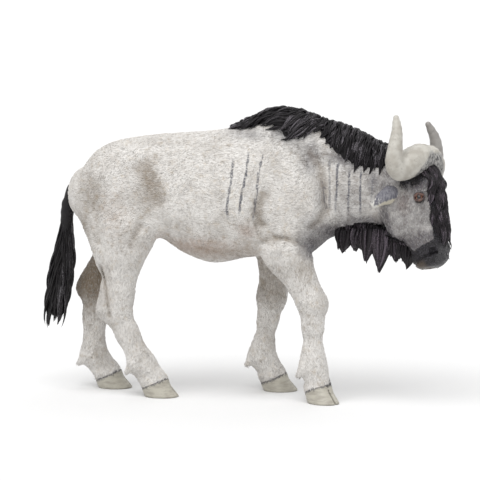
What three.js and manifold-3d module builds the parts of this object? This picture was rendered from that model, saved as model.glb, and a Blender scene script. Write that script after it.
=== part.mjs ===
// A moulded vinyl figure of a walking wildebeest, 122 mm long.
// The flesh is one smooth skin round a few sections and tapered bars. It is parted where the neck, head,
// legs and hooves begin. Horns, eyes, ears and the sculpted hair of mane, beard and tail are set on it.
// Millimetres. +X runs towards the head, +Y to the animal's left, +Z up, and the hooves stand on Z = 0.
import * as THREE from "three";
import { mergeVertices } from "three/addons/utils/BufferGeometryUtils.js";
import Module from "manifold-3d";

const wasm = await Module();
wasm.setup();

const { clamp, lerp, degToRad } = THREE.MathUtils;
const vec = (x, y, z) => new THREE.Vector3(x, y, z);

// Driving sizes
const gap = 0.3; // between neighbouring pieces
const hornSpan = 26; // across the horns at their widest
const hornRise = 13.6; // from the dip of a horn to its tip
const eyeRadius = 1.3;
const headYaw = degToRad(-17.7); // the head turns to the animal's right
const headPitch = degToRad(75); // from level to the line from poll to nose
const headRoll = degToRad(-9.6); // the left horn is carried lower

// Trunk and neck, a section at each x: [x, underside, topline, half width, sideways, egg]
// A positive egg makes the lower half of the section the wider one.
const trunk = [
  [-47, 53, 67, 6.6, 0, 0],
  [-42.5, 48.4, 70.9, 9.3, 0, -0.1],
  [-36, 48.8, 74, 11.2, 0, -0.05],
  [-27, 47.6, 75.6, 12, 0, 0.02],
  [-18, 41.8, 76.4, 13, 0, 0.1],
  [-9, 38.9, 77.2, 13.6, 0, 0.14],
  [1, 40.6, 79, 13.2, 0, 0.14],
  [9, 41.2, 81, 11.8, 0, 0.16],
  [16, 40.2, 81.6, 10.2, 0, 0.2],
  [20.5, 43, 80.9, 9, 0, 0.2],
  [25, 46.6, 78.6, 8, -0.1, 0.16],
  [32, 48.6, 75.4, 7.2, -0.8, 0.12],
  [40, 50.5, 71.8, 6.6, -1.8, 0.08],
];
const trunkEnd = 4.2; // radius that rounds off both ends

// Head, a section at each distance from the poll towards the nose:
// [distance, back of the section, face side, half width, sideways, egg]
const poll = vec(46.8, -2.1, 72.6);
const headSections = [
  [3.6, -6.6, 6.6, 5.8, 0, 0],
  [7, -8, 8.2, 6.7, 0, 0],
  [11, -8.7, 9.2, 7.1, 0, 0.05],
  [15, -8.8, 9.6, 6.8, 0, 0.1],
  [19.5, -8.1, 9.3, 5.9, 0, 0.1],
  [24.5, -5.6, 9.2, 5, 0, 0],
  [29, -3, 8, 4.9, 0, -0.05],
  [32.2, -2.7, 6.8, 5.2, 0, -0.05],
];
const headEnd = 2.6;

// Legs, each joint as [x, y, z]
const legJoints = {
  hind_right: {
    hip: [-37, -5.5, 62],
    stifle: [-33.5, -7.6, 49],
    hock: [-37, -7, 25.5],
    fetlock: [-29.3, -6.8, 9.6],
    coronet: [-25, -6.8, 4.4],
    toeYaw: -4,
  },
  hind_left: {
    hip: [-38, 5.5, 62],
    stifle: [-35.5, 7.4, 49],
    hock: [-46, 6.4, 30],
    fetlock: [-46.4, 6, 9.6],
    coronet: [-41.6, 6, 4.4],
    toeYaw: 4,
  },
  front_right: {
    shoulder: [17.5, -7.2, 56],
    elbow: [13.4, -7.8, 43.5],
    knee: [21.2, -8.8, 28.4],
    fetlock: [21.4, -9, 10.4],
    coronet: [23.2, -9.2, 4.6],
    toeYaw: -34,
  },
  front_left: {
    shoulder: [15.5, 7.2, 56],
    elbow: [9, 7.8, 42.5],
    knee: [6.3, 8.8, 27.4],
    fetlock: [3.4, 9, 10.2],
    coronet: [7.4, 9, 4.4],
    toeYaw: 6,
  },
};
const legGirth = {
  hip: 10, buttock: 7.4, breech: 5.8, stifle: 8.2, gaskin: 4.4, hock: 4.2, heelBone: 1.9,
  shoulder: 6.2, elbow: 6.4, knee: 3.9,
  cannon: 3.0, frontCannon: 2.7, fetlock: 3.5, pastern: 3.5, dewclaw: 1.1,
};
const legFlat = 0.8; // legs are narrower across than from front to back
const hoof = { length: 10, width: 8, height: 5.2, slope: 0.62, cleft: 0.7 };

// Two distances joined over the width k, so that one form runs into the other without a crease
function soft(a, b, k) {
  const h = Math.max(k - Math.abs(a - b), 0);
  return Math.min(a, b) - (h * h) / (4 * k);
}

// Distance to a tapered bar between two joints, squeezed across Y
function barDistance(p, bar) {
  const { a, ra, b, rb, flat } = bar;
  const dx = b[0] - a[0], dy = (b[1] - a[1]) / flat, dz = b[2] - a[2];
  const px = p[0] - a[0], py = (p[1] - a[1]) / flat, pz = p[2] - a[2];
  const t = clamp((px * dx + py * dy + pz * dz) / (dx * dx + dy * dy + dz * dz), 0, 1);
  return (Math.hypot(px - t * dx, py - t * dy, pz - t * dz) - lerp(ra, rb, t)) * Math.min(1, flat);
}

// A row of the section table at s, by cubic interpolation between its rows
function sectionAt(rows, s) {
  const last = rows.length - 1;
  let i = 0;
  while (i < last - 1 && s > rows[i + 1][0]) i++;
  const from = rows[i], to = rows[i + 1];
  const before = rows[Math.max(i - 1, 0)], after = rows[Math.min(i + 2, last)];
  const span = to[0] - from[0];
  const t = clamp((s - from[0]) / span, 0, 1);
  return from.map((value, k) => {
    const slopeIn = ((to[k] - before[k]) / (to[0] - before[0])) * span;
    const slopeOut = ((after[k] - value) / (after[0] - from[0])) * span;
    const t2 = t * t, t3 = t2 * t;
    return value * (2 * t3 - 3 * t2 + 1) + slopeIn * (t3 - 2 * t2 + t)
      + to[k] * (3 * t2 - 2 * t3) + slopeOut * (t3 - t2);
  });
}

// Distance to a body of egg-shaped sections: s along it, h up it, w across it, ends rounded off
function sectionDistance(rows, end, s, h, w) {
  const held = clamp(s, rows[0][0], rows[rows.length - 1][0]);
  const [, low, high, halfWidth, sideways, egg] = sectionAt(rows, held);
  const half = (high - low) / 2;
  const up = (h - (high + low) / 2) / half;
  const wide = halfWidth * (1 - egg * clamp(up, -1, 1));
  const across = (w - sideways) / wide;
  const reach = Math.hypot(up, across);
  const steep = Math.hypot(up / half, across / wide);
  const side = (steep > 1e-9 ? (reach * (reach - 1)) / steep : -half) + end;
  const past = Math.abs(s - held);
  return Math.hypot(Math.max(side, 0), past) + Math.min(side, 0) * Math.max(1 - past / end, 0) - end;
}

// The head's own axes: down the face, out of the face, and to its left
const ahead = vec(Math.cos(headYaw), Math.sin(headYaw), 0);
const level = vec(-Math.sin(headYaw), Math.cos(headYaw), 0);
const plumb = ahead.clone().multiplyScalar(Math.cos(headPitch)).add(vec(0, 0, -Math.sin(headPitch)));
const outOfFace = ahead.clone().multiplyScalar(Math.sin(headPitch)).add(vec(0, 0, Math.cos(headPitch)));
const downFace = plumb.clone().applyAxisAngle(outOfFace, headRoll);
const headLeft = level.clone().applyAxisAngle(outOfFace, headRoll);
const onHead = (down, out, left) => poll.clone()
  .addScaledVector(downFace, down).addScaledVector(outOfFace, out).addScaledVector(headLeft, left);
function headSpace(p) {
  const from = vec(...p).sub(poll);
  return [from.dot(downFace), from.dot(outOfFace), from.dot(headLeft)];
}

// Forms on the head, mirrored left and right, in the head's own axes [down, out, side]
const headBars = [
  { a: [11.4, 6.4, 4.4], ra: 1.7, b: [13.6, 4.4, 5.7], rb: 1.3, flat: 1, k: 1.6 }, // brow
  { a: [14.5, -3.4, 4.3], ra: 4, b: [22, -3.2, 3.2], rb: 3.1, flat: 1, k: 3 }, // cheek
  { a: [29.8, 5.3, 3.3], ra: 2, b: [31.6, 4.7, 3.5], rb: 1.8, flat: 1, k: 1.2 }, // nostril wing
];
const eyeSeat = [15.4, 4.7, 5.7]; // centre of an eye, down, out and to the side
const nostril = { at: [30.9, 5.9, 4.9], radius: 0.95 };
const mouth = { down: 32.4, middle: 2.1, front: 4.5, wide: 4.7, deep: 4.3, half: 0.25 };

function headDistance(p) {
  const [down, out, left] = headSpace(p);
  const side = Math.abs(left);
  let d = sectionDistance(headSections, headEnd, down, out, left);
  for (const bar of headBars) d = soft(d, barDistance([down, out, side], bar), bar.k);
  return d;
}

// Bars of a leg from its joints
const bar = (a, ra, b, rb, flat = legFlat) => ({ a, ra, b, rb, flat, k: 2 });
const shifted = (p, x, y, z) => [p[0] + x, p[1] + y, p[2] + z];
const between = (p, q, t) => p.map((v, i) => lerp(v, q[i], t));

function hindBars({ hip, stifle, hock, fetlock, coronet }) {
  const g = legGirth;
  const aboveHock = between(stifle, hock, 0.82);
  const heelBone = shifted(hock, -3.6, 0, -0.6);
  const side = Math.sign(hip[1]);
  return [
    { ...bar(hip, g.hip, stifle, g.stifle, 0.72), k: 5 },
    { ...bar([-42.2, side * 5, 57], g.buttock, [-37.6, side * 6.4, 42.5], g.breech, 0.75), k: 3 },
    { ...bar(stifle, g.stifle - 1.2, aboveHock, g.gaskin), k: 4 },
    bar(aboveHock, g.gaskin, hock, g.hock),
    bar(between(stifle, hock, 0.6), 2.6, heelBone, g.heelBone),
    bar(hock, g.hock, between(hock, fetlock, 0.45), g.cannon),
    bar(between(hock, fetlock, 0.45), g.cannon, fetlock, g.fetlock),
    bar(fetlock, g.fetlock, coronet, g.pastern),
  ];
}

function frontBars({ shoulder, elbow, knee, fetlock, coronet }) {
  const g = legGirth;
  const belowKnee = between(knee, fetlock, 0.35);
  return [
    { ...bar(shifted(shoulder, -9, 2.5, 20), 3.6, shoulder, g.shoulder, 0.7), k: 4 },
    { ...bar(shoulder, g.shoulder, elbow, g.elbow, 0.7), k: 4 },
    { ...bar(elbow, g.elbow - 0.6, knee, g.knee), k: 3 },
    bar(knee, g.knee, belowKnee, g.frontCannon),
    bar(belowKnee, g.frontCannon, between(knee, fetlock, 0.8), g.frontCannon),
    bar(between(knee, fetlock, 0.8), g.frontCannon, fetlock, g.fetlock),
    bar(fetlock, g.fetlock, coronet, g.pastern),
  ];
}

// Two small claws at the back of each fetlock
const dewclawBars = ({ fetlock }) => [-1, 1].map((side) => ({
  ...bar(shifted(fetlock, -2.2, side * 1.5, -0.4), 1.7, shifted(fetlock, -4.1, side * 1.7, -2.4), 0.8, 1),
  k: 1,
}));

const legForms = Object.entries(legJoints).map(([name, joints]) => {
  const limb = name.startsWith("hind") ? hindBars(joints) : frontBars(joints);
  return { name, joints, bars: [...limb, ...dewclawBars(joints)] };
});

// A hoof is a leaning oval cone from the sole to the coronet, in its own heading
function hoofDistance(p, { coronet, toeYaw }) {
  const yaw = degToRad(toeYaw);
  const dx = p[0] - coronet[0], dy = p[1] - coronet[1];
  const along = dx * Math.cos(yaw) + dy * Math.sin(yaw);
  const across = -dx * Math.sin(yaw) + dy * Math.cos(yaw);
  const rise = clamp(p[2] / hoof.height, -0.4, 1.2);
  const halfLength = (hoof.length / 2) * (1 - 0.22 * rise);
  const halfWidth = (hoof.width / 2) * (1 - 0.16 * rise);
  const lean = (hoof.slope * hoof.height) * (0.55 - rise);
  const u = (along - lean) / halfLength, v = across / halfWidth;
  const reach = Math.hypot(u, v);
  const side = (reach - 1) * halfWidth * 0.85;
  const end = 0.8;
  const past = Math.max(p[2] - hoof.height + end, -2 - p[2]);
  return Math.hypot(Math.max(side + end, 0), Math.max(past, 0)) + Math.min(side + end, 0) - end;
}

// The whole flesh
function bodyDistance(p) {
  let d = sectionDistance(trunk, trunkEnd, p[0], p[2], p[1]);
  for (const { joints, bars } of legForms) {
    let leg = barDistance(p, bars[0]);
    for (const piece of bars.slice(1)) leg = soft(leg, barDistance(p, piece), piece.k);
    leg = soft(leg, hoofDistance(p, joints), 1);
    d = soft(d, leg, 4);
  }
  return soft(d, headDistance(p), 3);
}

// The 12 edges of a cell as corner pairs, and the edges round each of its 6 sides
const axes = [[1, 0, 0], [0, 1, 0], [0, 0, 1]];
const cellEdges = axes.flatMap((axis, c) => [[0, 0], [1, 0], [0, 1], [1, 1]].map(([u, v]) => {
  const low = [0, 0, 0];
  low[(c + 1) % 3] = u;
  low[(c + 2) % 3] = v;
  return { low, high: low.map((value, i) => value + axis[i]) };
}));
const cellSides = [0, 1, 2].flatMap((c) => [0, 1].map((level) =>
  cellEdges.flatMap(({ low, high }, e) => (low[c] === level && high[c] === level ? [e] : []))));
const sameCorner = (a, b) => a.every((value, i) => value === b[i]);

// The sheets of surface in a cell: for each crossed edge, the number of the sheet that crosses it
function sheetsIn(crossed, isInside) {
  const sheet = cellEdges.map((_, e) => (crossed[e] ? e : -1));
  const join = (e, f) => {
    const [from, to] = [sheet[f], sheet[e]];
    sheet.forEach((value, i) => { if (value === from) sheet[i] = to; });
  };
  for (const side of cellSides) {
    const hit = side.filter((e) => crossed[e]);
    if (hit.length === 2) join(hit[0], hit[1]);
    if (hit.length < 4) continue;
    for (const e of hit) for (const f of hit) {
      const corner = isInside(cellEdges[e].low) ? cellEdges[e].low : cellEdges[e].high;
      const other = isInside(cellEdges[f].low) ? cellEdges[f].low : cellEdges[f].high;
      if (e < f && sameCorner(corner, other)) join(e, f);
    }
  }
  return sheet;
}

// The surface where distance(p) is zero inside a box, as a closed mesh of about the cell's size
function skinOf(distance, low, high, cell) {
  const n = low.map((v, i) => Math.ceil((high[i] - v) / cell) + 1);
  const at = (p) => (p[2] * n[1] + p[1]) * n[0] + p[0];
  const value = new Float64Array(n[0] * n[1] * n[2]);
  const eachOf = (from, trim, visit) => {
    for (let k = from; k < n[2] - trim; k++) {
      for (let j = from; j < n[1] - trim; j++) for (let i = from; i < n[0] - trim; i++) visit([i, j, k]);
    }
  };
  eachOf(0, 0, (p) => {
    const d = distance(p.map((v, c) => low[c] + v * cell));
    const rim = p.some((v, c) => v === 0 || v === n[c] - 1);
    value[at(p)] = rim ? Math.max(d, cell) : d;
  });
  const points = [];
  const owners = new Map();
  eachOf(0, 1, (p) => {
    const valueAt = (corner) => value[at(p.map((v, c) => v + corner[c]))];
    const crossed = cellEdges.map((edge) => valueAt(edge.low) < 0 !== valueAt(edge.high) < 0);
    if (!crossed.includes(true)) return;
    const sheet = sheetsIn(crossed, (corner) => valueAt(corner) < 0);
    const owner = new Array(12).fill(-1);
    for (const name of new Set(sheet)) {
      if (name < 0) continue;
      const own = cellEdges.flatMap((_, e) => (sheet[e] === name ? [e] : []));
      const sum = [0, 0, 0];
      for (const e of own) {
        const a = valueAt(cellEdges[e].low), b = valueAt(cellEdges[e].high);
        for (let c = 0; c < 3; c++) sum[c] += lerp(cellEdges[e].low[c], cellEdges[e].high[c], a / (a - b));
        owner[e] = points.length / 3;
      }
      points.push(...settled(distance, sum.map((v, c) => low[c] + (p[c] + v / own.length) * cell), cell));
    }
    owners.set(at(p), owner);
  });
  const faces = [];
  const apart = (q, r) => Math.hypot(...[0, 1, 2].map((c) => points[q * 3 + c] - points[r * 3 + c]));
  eachOf(0, 1, (p) => axes.forEach((axis, c) => {
    if (p[(c + 1) % 3] === 0 || p[(c + 2) % 3] === 0) return;
    const here = value[at(p)], next = value[at(p.map((v, i) => v + axis[i]))];
    if (here < 0 === next < 0) return;
    const ring = [[0, 0], [1, 0], [1, 1], [0, 1]].map(([u, v]) => {
      const home = [...p];
      home[(c + 1) % 3] -= u;
      home[(c + 2) % 3] -= v;
      return owners.get(at(home))[c * 4 + u + 2 * v];
    });
    if (here >= 0) ring.reverse();
    const turn = apart(ring[0], ring[2]) <= apart(ring[1], ring[3]) ? 0 : 1;
    const [q, r, t, w] = [0, 1, 2, 3].map((i) => ring[(i + turn) % 4]);
    faces.push(q, r, t, q, t, w);
  }));
  return new THREE.BufferGeometry()
    .setAttribute("position", new THREE.Float32BufferAttribute(points, 3)).setIndex(faces);
}

// Outward direction of a distance at a point
function slopeAt(distance, p, step = 0.05) {
  const g = [0, 1, 2].map((c) => {
    const a = [...p], b = [...p];
    a[c] -= step;
    b[c] += step;
    return (distance(b) - distance(a)) / (2 * step);
  });
  return g;
}

// A point moved on to the surface, by no more than half a cell
function settled(distance, start, cell) {
  let p = start;
  for (let turn = 0; turn < 3; turn++) {
    const g = slopeAt(distance, p);
    const size = g[0] ** 2 + g[1] ** 2 + g[2] ** 2;
    if (size < 1e-6) break;
    const d = distance(p) / size;
    p = p.map((v, c) => start[c] + clamp(v - d * g[c] - start[c], -0.45 * cell, 0.45 * cell));
  }
  return p;
}

// Solids
function solidOf(geometry) {
  const loose = () => geometry.deleteAttribute("normal").deleteAttribute("uv");
  const bare = geometry.index ? geometry.clone() : mergeVertices(loose(), 1e-4);
  return new wasm.Manifold(new wasm.Mesh({
    numProp: 3,
    vertProperties: new Float32Array(bare.attributes.position.array),
    triVerts: new Uint32Array(bare.index.array),
  }));
}

function closedGeometry(geometry) {
  const bare = geometry.clone();
  for (const name of Object.keys(bare.attributes)) if (name !== "position") bare.deleteAttribute(name);
  return mergeVertices(bare, 1e-4);
}

function geometryOf(solid) {
  const mesh = solid.getMesh();
  const position = new Float32Array(mesh.numVert * 3);
  for (let i = 0; i < mesh.numVert; i++) {
    position.set(mesh.vertProperties.subarray(i * mesh.numProp, i * mesh.numProp + 3), i * 3);
  }
  const geometry = new THREE.BufferGeometry().setAttribute("position", new THREE.BufferAttribute(position, 3));
  return geometry.setIndex(new THREE.BufferAttribute(new Uint32Array(mesh.triVerts), 1));
}

const largest = (solid) => solid.decompose().reduce((a, b) => (b.volume() > a.volume() ? b : a));

// Half of space on the far side of a plane, as a block, drawn back by half a gap
function beyond([x, y, z], [nx, ny, nz]) {
  const reach = 300;
  const block = new THREE.BoxGeometry(reach, reach, reach).translate(0, 0, reach / 2 + gap / 2);
  const turn = new THREE.Quaternion().setFromUnitVectors(vec(0, 0, 1), vec(nx, ny, nz).normalize());
  return solidOf(closedGeometry(block.applyQuaternion(turn).translate(x, y, z)));
}
const flip = (n) => n.map((v) => -v);

// Planes that part the flesh: a point and the direction to the outer piece
const neckCut = [[22.5, 0, 62], [1, 0, 0.12]];
const headCut = [[42.2, -2, 62], [0.93, -0.22, -0.28]];
const muzzleCut = [onHead(26.4, 0, 0).toArray(), downFace.toArray()];
const hindCut = [[-24, 0, 42.5], [-0.512, 0, -0.859]];
const frontCut = [[10, 0, 39.2], [0.12, 0, -0.993]];
const rightHalf = [[0, 0, 0], [0, -1, 0]];
const leftHalf = [[0, 0, 0], [0, 1, 0]];
const floor = [[0, 0, -gap / 2], [0, 0, 1]];
const hoofCut = ({ coronet, toeYaw }) => {
  const yaw = degToRad(toeYaw);
  return [[coronet[0], coronet[1], 3.9], [0.42 * Math.cos(yaw), 0.42 * Math.sin(yaw), -1]];
};

function parted(distance, low, high, cell, outside, inside = []) {
  let solid = solidOf(skinOf(distance, low, high, cell));
  for (const cut of outside) solid = solid.intersect(beyond(...cut));
  for (const [at, normal] of inside) solid = solid.intersect(beyond(at, flip(normal)));
  return largest(solid);
}

const colours = {
  coat: { color: 0xc9c4bb, roughness: 0.55 },
  hair: { color: 0x2b272b, roughness: 0.6 },
  horn: { color: 0xc9c5b2, roughness: 0.45 },
  hoof: { color: 0xb9b6a6, roughness: 0.5 },
  eye: { color: 0x8a4a26, roughness: 0.2 },
};
const finishes = Object.fromEntries(Object.entries(colours).map(([name, look]) =>
  [name, new THREE.MeshStandardMaterial({ ...look, metalness: 0 })]));

const figure = new THREE.Group();
function place(name, solid, finish) {
  const mesh = new THREE.Mesh(geometryOf(solid), finishes[finish]);
  mesh.name = name;
  figure.add(mesh);
}

// Flesh
const torso = parted(bodyDistance, [-57, -19, 32], [30, 19, 88], 3.4, [], [neckCut, hindCut, frontCut]);
place("torso", torso, "coat");
place("neck", parted(bodyDistance, [14, -15, 38], [52, 13, 86], 3, [neckCut], [headCut]), "coat");
const headSkin = parted(bodyDistance, [32, -20, 32], [68, 14, 84], 1.75, [headCut], [muzzleCut]);
let muzzle = parted(bodyDistance, [40, -22, 26], [68, 10, 56], 1.4, [muzzleCut]);
for (const side of [-1, 1]) {
  const [down, out, left] = nostril.at;
  muzzle = muzzle.subtract(solidOf(closedGeometry(new THREE.SphereGeometry(nostril.radius, 8, 6)
    .scale(1, 1, 0.8).translate(...onHead(down, out, side * left).toArray()))));
}
// The mouth line, a shallow groove round the front of the muzzle
const lipAxes = new THREE.Matrix4().makeBasis(headLeft, downFace.clone().negate(), outOfFace)
  .setPosition(onHead(mouth.down, mouth.middle, 0));
const inLips = (shape) => solidOf(closedGeometry(shape.applyMatrix4(lipAxes)));
const ring = new THREE.CylinderGeometry(9, 9, mouth.half * 2, 20).scale(1, 1, 0.9)
  .translate(0, 0, mouth.front);
const plug = new THREE.CylinderGeometry(1, 1, 4, 20).scale(mouth.wide, 1, mouth.deep);
muzzle = muzzle.subtract(inLips(ring).subtract(inLips(plug)));
place("muzzle", largest(muzzle), "coat");

for (const { name, joints } of legForms) {
  const hind = name.startsWith("hind");
  const half = name.endsWith("right") ? rightHalf : leftHalf;
  const [x, y] = joints.coronet;
  const low = [hind ? -58 : -6, Math.min(-2, Math.sign(y) * 20), -3];
  const high = [hind ? -12 : 34, Math.max(2, Math.sign(y) * 20), hind ? 66 : 48];
  const leg = parted(bodyDistance, low, high, 2.4, [hind ? hindCut : frontCut, half], [hoofCut(joints)]);
  place("leg_" + name, leg, "coat");
  const claw = parted(bodyDistance, [x - 7.5, y - 5.4, -3], [x + 9, y + 5.4, 8], 1.65, [hoofCut(joints), floor]);
  const across = vec(1, 0, 0).applyAxisAngle(vec(0, 0, 1), degToRad(joints.toeYaw));
  const cleft = new THREE.BoxGeometry(hoof.length, hoof.cleft, hoof.height * 3)
    .rotateZ(degToRad(joints.toeYaw))
    .translate(x + across.x * hoof.length * 0.72, y + across.y * hoof.length * 0.72, 0);
  place("hoof_" + name, claw.subtract(solidOf(closedGeometry(cleft))), "hoof");
}

// A closed solid through rings of points, each ring given in the same order, with both ends fanned shut
function loft(rings) {
  const m = rings[0].length;
  const centre = (ring) => ring.reduce((sum, p) => sum.add(p), vec(0, 0, 0)).divideScalar(m);
  const points = [...rings.flat(), centre(rings[0]), centre(rings.at(-1))];
  const start = rings.length * m;
  const faces = [];
  for (let i = 0; i < m; i++) {
    const next = (i + 1) % m;
    faces.push(start, next, i, start + 1, start - m + i, start - m + next);
    for (let r = 0; r < rings.length - 1; r++) {
      const a = r * m + i, b = r * m + next;
      faces.push(a, b, b + m, a, b + m, a + m);
    }
  }
  const solid = solidOf(new THREE.BufferGeometry().setFromPoints(points).setIndex(faces));
  return solid.volume() > 0 ? solid : solidOf(new THREE.BufferGeometry().setFromPoints(points)
    .setIndex(faces.map((_, i) => faces[i - (i % 3) + [0, 2, 1][i % 3]])));
}

// Rings of a round bar along a curve; radius(t) is [across, out] from start to end
function barRings(curve, steps, sides, radius, out) {
  return Array.from({ length: steps + 1 }, (_, i) => {
    const t = i / steps;
    const along = curve.getTangentAt(t);
    const across = along.clone().cross(out).normalize();
    const up = across.clone().cross(along).normalize();
    const [rx, ry] = radius(t);
    return Array.from({ length: sides }, (_, k) => {
      const angle = Math.PI / 2 + (2 * Math.PI * k) / sides;
      return curve.getPointAt(t).addScaledVector(across, rx * Math.cos(angle))
        .addScaledVector(up, ry * Math.sin(angle));
    });
  });
}

// A lock of hair: flat, tapered and bent through its points, lying along the skin whose outward way is out
function lock(points, width, thickness, out) {
  const girth = (t) => {
    const full = lerp(0.7, 1, Math.min(t / 0.35, 1)) * Math.min(1, (1 - t) / 0.6 + 0.12);
    return [(width / 2) * full, (thickness / 2) * Math.sqrt(full)];
  };
  return loft(barRings(new THREE.CatmullRomCurve3(points), 3, 3, girth, out));
}
const joined = (solids) => solids.reduce((whole, solid) => whole.add(solid));
const spread = (seed) => { // a steady scatter between -1 and 1
  const wave = Math.sin(seed * 12.9898) * 43758.5453;
  return 2 * (wave - Math.floor(wave)) - 1;
};

// What stands off the flesh keeps clear of it
const clearance = gap + 0.15;
const fleshKept = (low, high, cell) => solidOf(skinOf((p) => bodyDistance(p) - clearance, low, high, cell));

// Mane: [x, height of the crest, degrees it comes down the side]
const maneRows = [
  [-6, 0.4, 7], [2, 1.5, 13], [9, 2.8, 20], [15, 2.8, 29], [20, 1.9, 28], [25, 2, 40], [30, 2.7, 50],
  [35, 3, 58], [41, 2.6, 54],
];
const spine = (x) => {
  const [, low, high, , sideways] = sectionAt(trunk, x);
  return [x, sideways, lerp(low, high, 0.55)];
};
function maneLift(p) {
  const [, crest, edge] = sectionAt(maneRows, p[0]);
  const [, y, z] = spine(p[0]);
  const angle = Math.atan2(Math.abs(p[1] - y), p[2] - z) / degToRad(edge);
  return crest * (1 - angle * angle);
}
function onTrunk(x, angle, lift) {
  const centre = vec(...spine(x));
  const way = vec(0, Math.sin(angle), Math.cos(angle));
  let near = 0, far = 40;
  for (let i = 0; i < 24; i++) {
    const middle = (near + far) / 2;
    if (bodyDistance(centre.clone().addScaledVector(way, middle).toArray()) < lift) near = middle;
    else far = middle;
  }
  return centre.addScaledVector(way, near);
}
const maneDistance = (p) => bodyDistance(p) - Math.max(maneLift(p), -1);
const maneCore = solidOf(skinOf(maneDistance, [-8, -14, 58], [42, 13, 90], 3.3));
const maneLocks = [];
for (let i = 0; i < 11; i++) {
  for (const side of [-1, 1]) {
    for (const [row, from, to] of [[0, 0.05, 0.66], [1, 0.42, 1]]) {
      const x = -0.5 + i * 4 + row * 2 + 0.4 * spread(i + 7 * row + side);
      const [, crest, edge] = sectionAt(maneRows, clamp(x, -6, 41));
      const sweep = lerp(4.4, 0.5, clamp((x - 13) / 12, 0, 1)) * (0.6 + 0.4 * row);
      const end = to + 0.08 * spread(i * 3 + row);
      const at = (t, lift) => onTrunk(x - sweep * t, side * degToRad(edge) * lerp(from, end, t), lift);
      const root = at(0, 0.6 * crest * (1 - from * from));
      const out = vec(...slopeAt(bodyDistance, root.toArray()));
      maneLocks.push(lock([root, at(0.5, lerp(0.9, 1.1, row) * lerp(1, crest, 0.5)), at(1, 0.8)], 4.8, 2.2, out));
    }
  }
}
const mane = joined([maneCore, ...maneLocks]).subtract(fleshKept([-14, -16, 46], [52, 14, 90], 3.4));
place("mane_withers", largest(mane.intersect(beyond(neckCut[0], flip(neckCut[1])))), "hair");
place("mane_neck", largest(mane.intersect(beyond(...neckCut))), "hair");

// Beard: tips of its locks [x, z], hanging from the throat in three layers
const beardTips = [[29.2, 41.6], [33.6, 39.8], [38.4, 36.9], [42.6, 39.8], [46.4, 38.4]];
const beardBars = [
  { a: [29, -1.2, 48.2], ra: 2, b: [37, -1.9, 46.4], rb: 3.2, flat: 0.8 },
  { a: [37, -1.9, 46.4], ra: 3.2, b: [46, -3.6, 45.8], rb: 2.2, flat: 0.8 },
];
const beardCore = solidOf(skinOf((p) => soft(barDistance(p, beardBars[0]), barDistance(p, beardBars[1]), 2),
  [24, -10, 38], [53, 6, 56], 2.8));
const beardLocks = beardTips.flatMap(([x, z], i) => [-1, 0, 1].map((layer) => {
  const middle = lerp(-1, -3.6, (x - 29) / 18);
  const high = layer === 0 ? 0 : 1.2 + 0.8 * spread(i + 3 * layer);
  const shift = layer * 1.1 + 0.3 * spread(i);
  return lock([vec(x + shift, middle + layer * 1.4, 48), vec(x + shift + 0.3, middle + layer * 2.4, lerp(48, z, 0.5)),
    vec(x + shift * 0.6, middle + layer * 1.5, z + high)], 6, 3, vec(0, layer || -1, 0));
}));
const beard = joined([beardCore, ...beardLocks]).subtract(fleshKept([20, -16, 32], [60, 10, 62], 2.5));
place("beard", largest(beard), "hair");

// Tail: a fleshy dock, and a tuft of locks round a core
const tailPath = [
  vec(-50.2, 0, 59.2), vec(-52.4, 0, 55), vec(-53, 0, 49.5), vec(-53.6, 0, 42.5), vec(-54.6, 0, 35.5),
  vec(-55.8, 0, 28.4), vec(-57.2, 0, 20),
];
const tailCurve = new THREE.CatmullRomCurve3(tailPath);
const dockEnd = 0.4;
const dockCurve = new THREE.CatmullRomCurve3([0, 0.1, 0.2, 0.3, dockEnd].map((t) => tailCurve.getPointAt(t)));
const dock = loft(barRings(dockCurve, 7, 10, (t) => [lerp(1.9, 1.5, t), lerp(2.1, 1.6, t)], vec(1, 0, 0)));
place("tail_dock", largest(dock.subtract(fleshKept([-60, -10, 40], [-40, 10, 66], 1.6))), "coat");
const tuftPoints = [0.26, 0.4, 0.55, 0.7, 0.85, 0.97].map((t) => tailCurve.getPointAt(t));
const tuftCurve = new THREE.CatmullRomCurve3(tuftPoints);
const tuftGirth = (t) => [
  lerp(1.7, 2.1, Math.sin(Math.PI * t)),
  lerp(1.9, 3.6, Math.sin(Math.PI * Math.min(t, 0.9))),
];
const tuftCore = loft(barRings(tuftCurve, 6, 8, tuftGirth, vec(1, 0, 0)));
const tuftLocks = [];
for (let i = 0; i < 5; i++) {
  for (let k = 0; k < 4; k++) {
    const t = 0.22 + i * 0.145 + 0.02 * spread(i + k * 5);
    const turn = (Math.PI / 2) * (k + 0.5 * (i % 2)) + 0.2 * spread(i * 4 + k);
    const way = (size) => vec(Math.cos(turn) * size * 1.5, Math.sin(turn) * size * 0.8, 0);
    const at = (step, out) => tailCurve.getPointAt(Math.min(t + step, 1)).add(way(out))
      .add(vec(-2 * Math.max(t + step - 1, 0), 0, -32 * Math.max(t + step - 1, 0)));
    const swell = 0.8 + 1.1 * Math.sin(Math.PI * Math.min(t, 0.8));
    tuftLocks.push(lock([at(0, swell * 0.75), at(0.13, swell * 1.35), at(0.27, swell * 1.2)], 4.2, 2.4, way(1)));
  }
}
const tuft = joined([tuftCore, ...tuftLocks]);
const dockClear = loft(barRings(tailCurve, 12, 8, () => [1.9 + gap, 2.1 + gap], vec(1, 0, 0)));
const dockFoot = tailCurve.getPointAt(dockEnd);
const dockDown = tailCurve.getTangentAt(dockEnd);
const dockSpace = dockClear.intersect(beyond(dockFoot.clone().addScaledVector(dockDown, gap + 0.05).toArray(),
  dockDown.clone().negate().toArray()));
const tailClear = fleshKept([-62, -12, 12], [-36, 12, 66], 2.3);
place("tail_tuft", largest(tuft.subtract(dockSpace).subtract(tailClear)), "hair");

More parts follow.
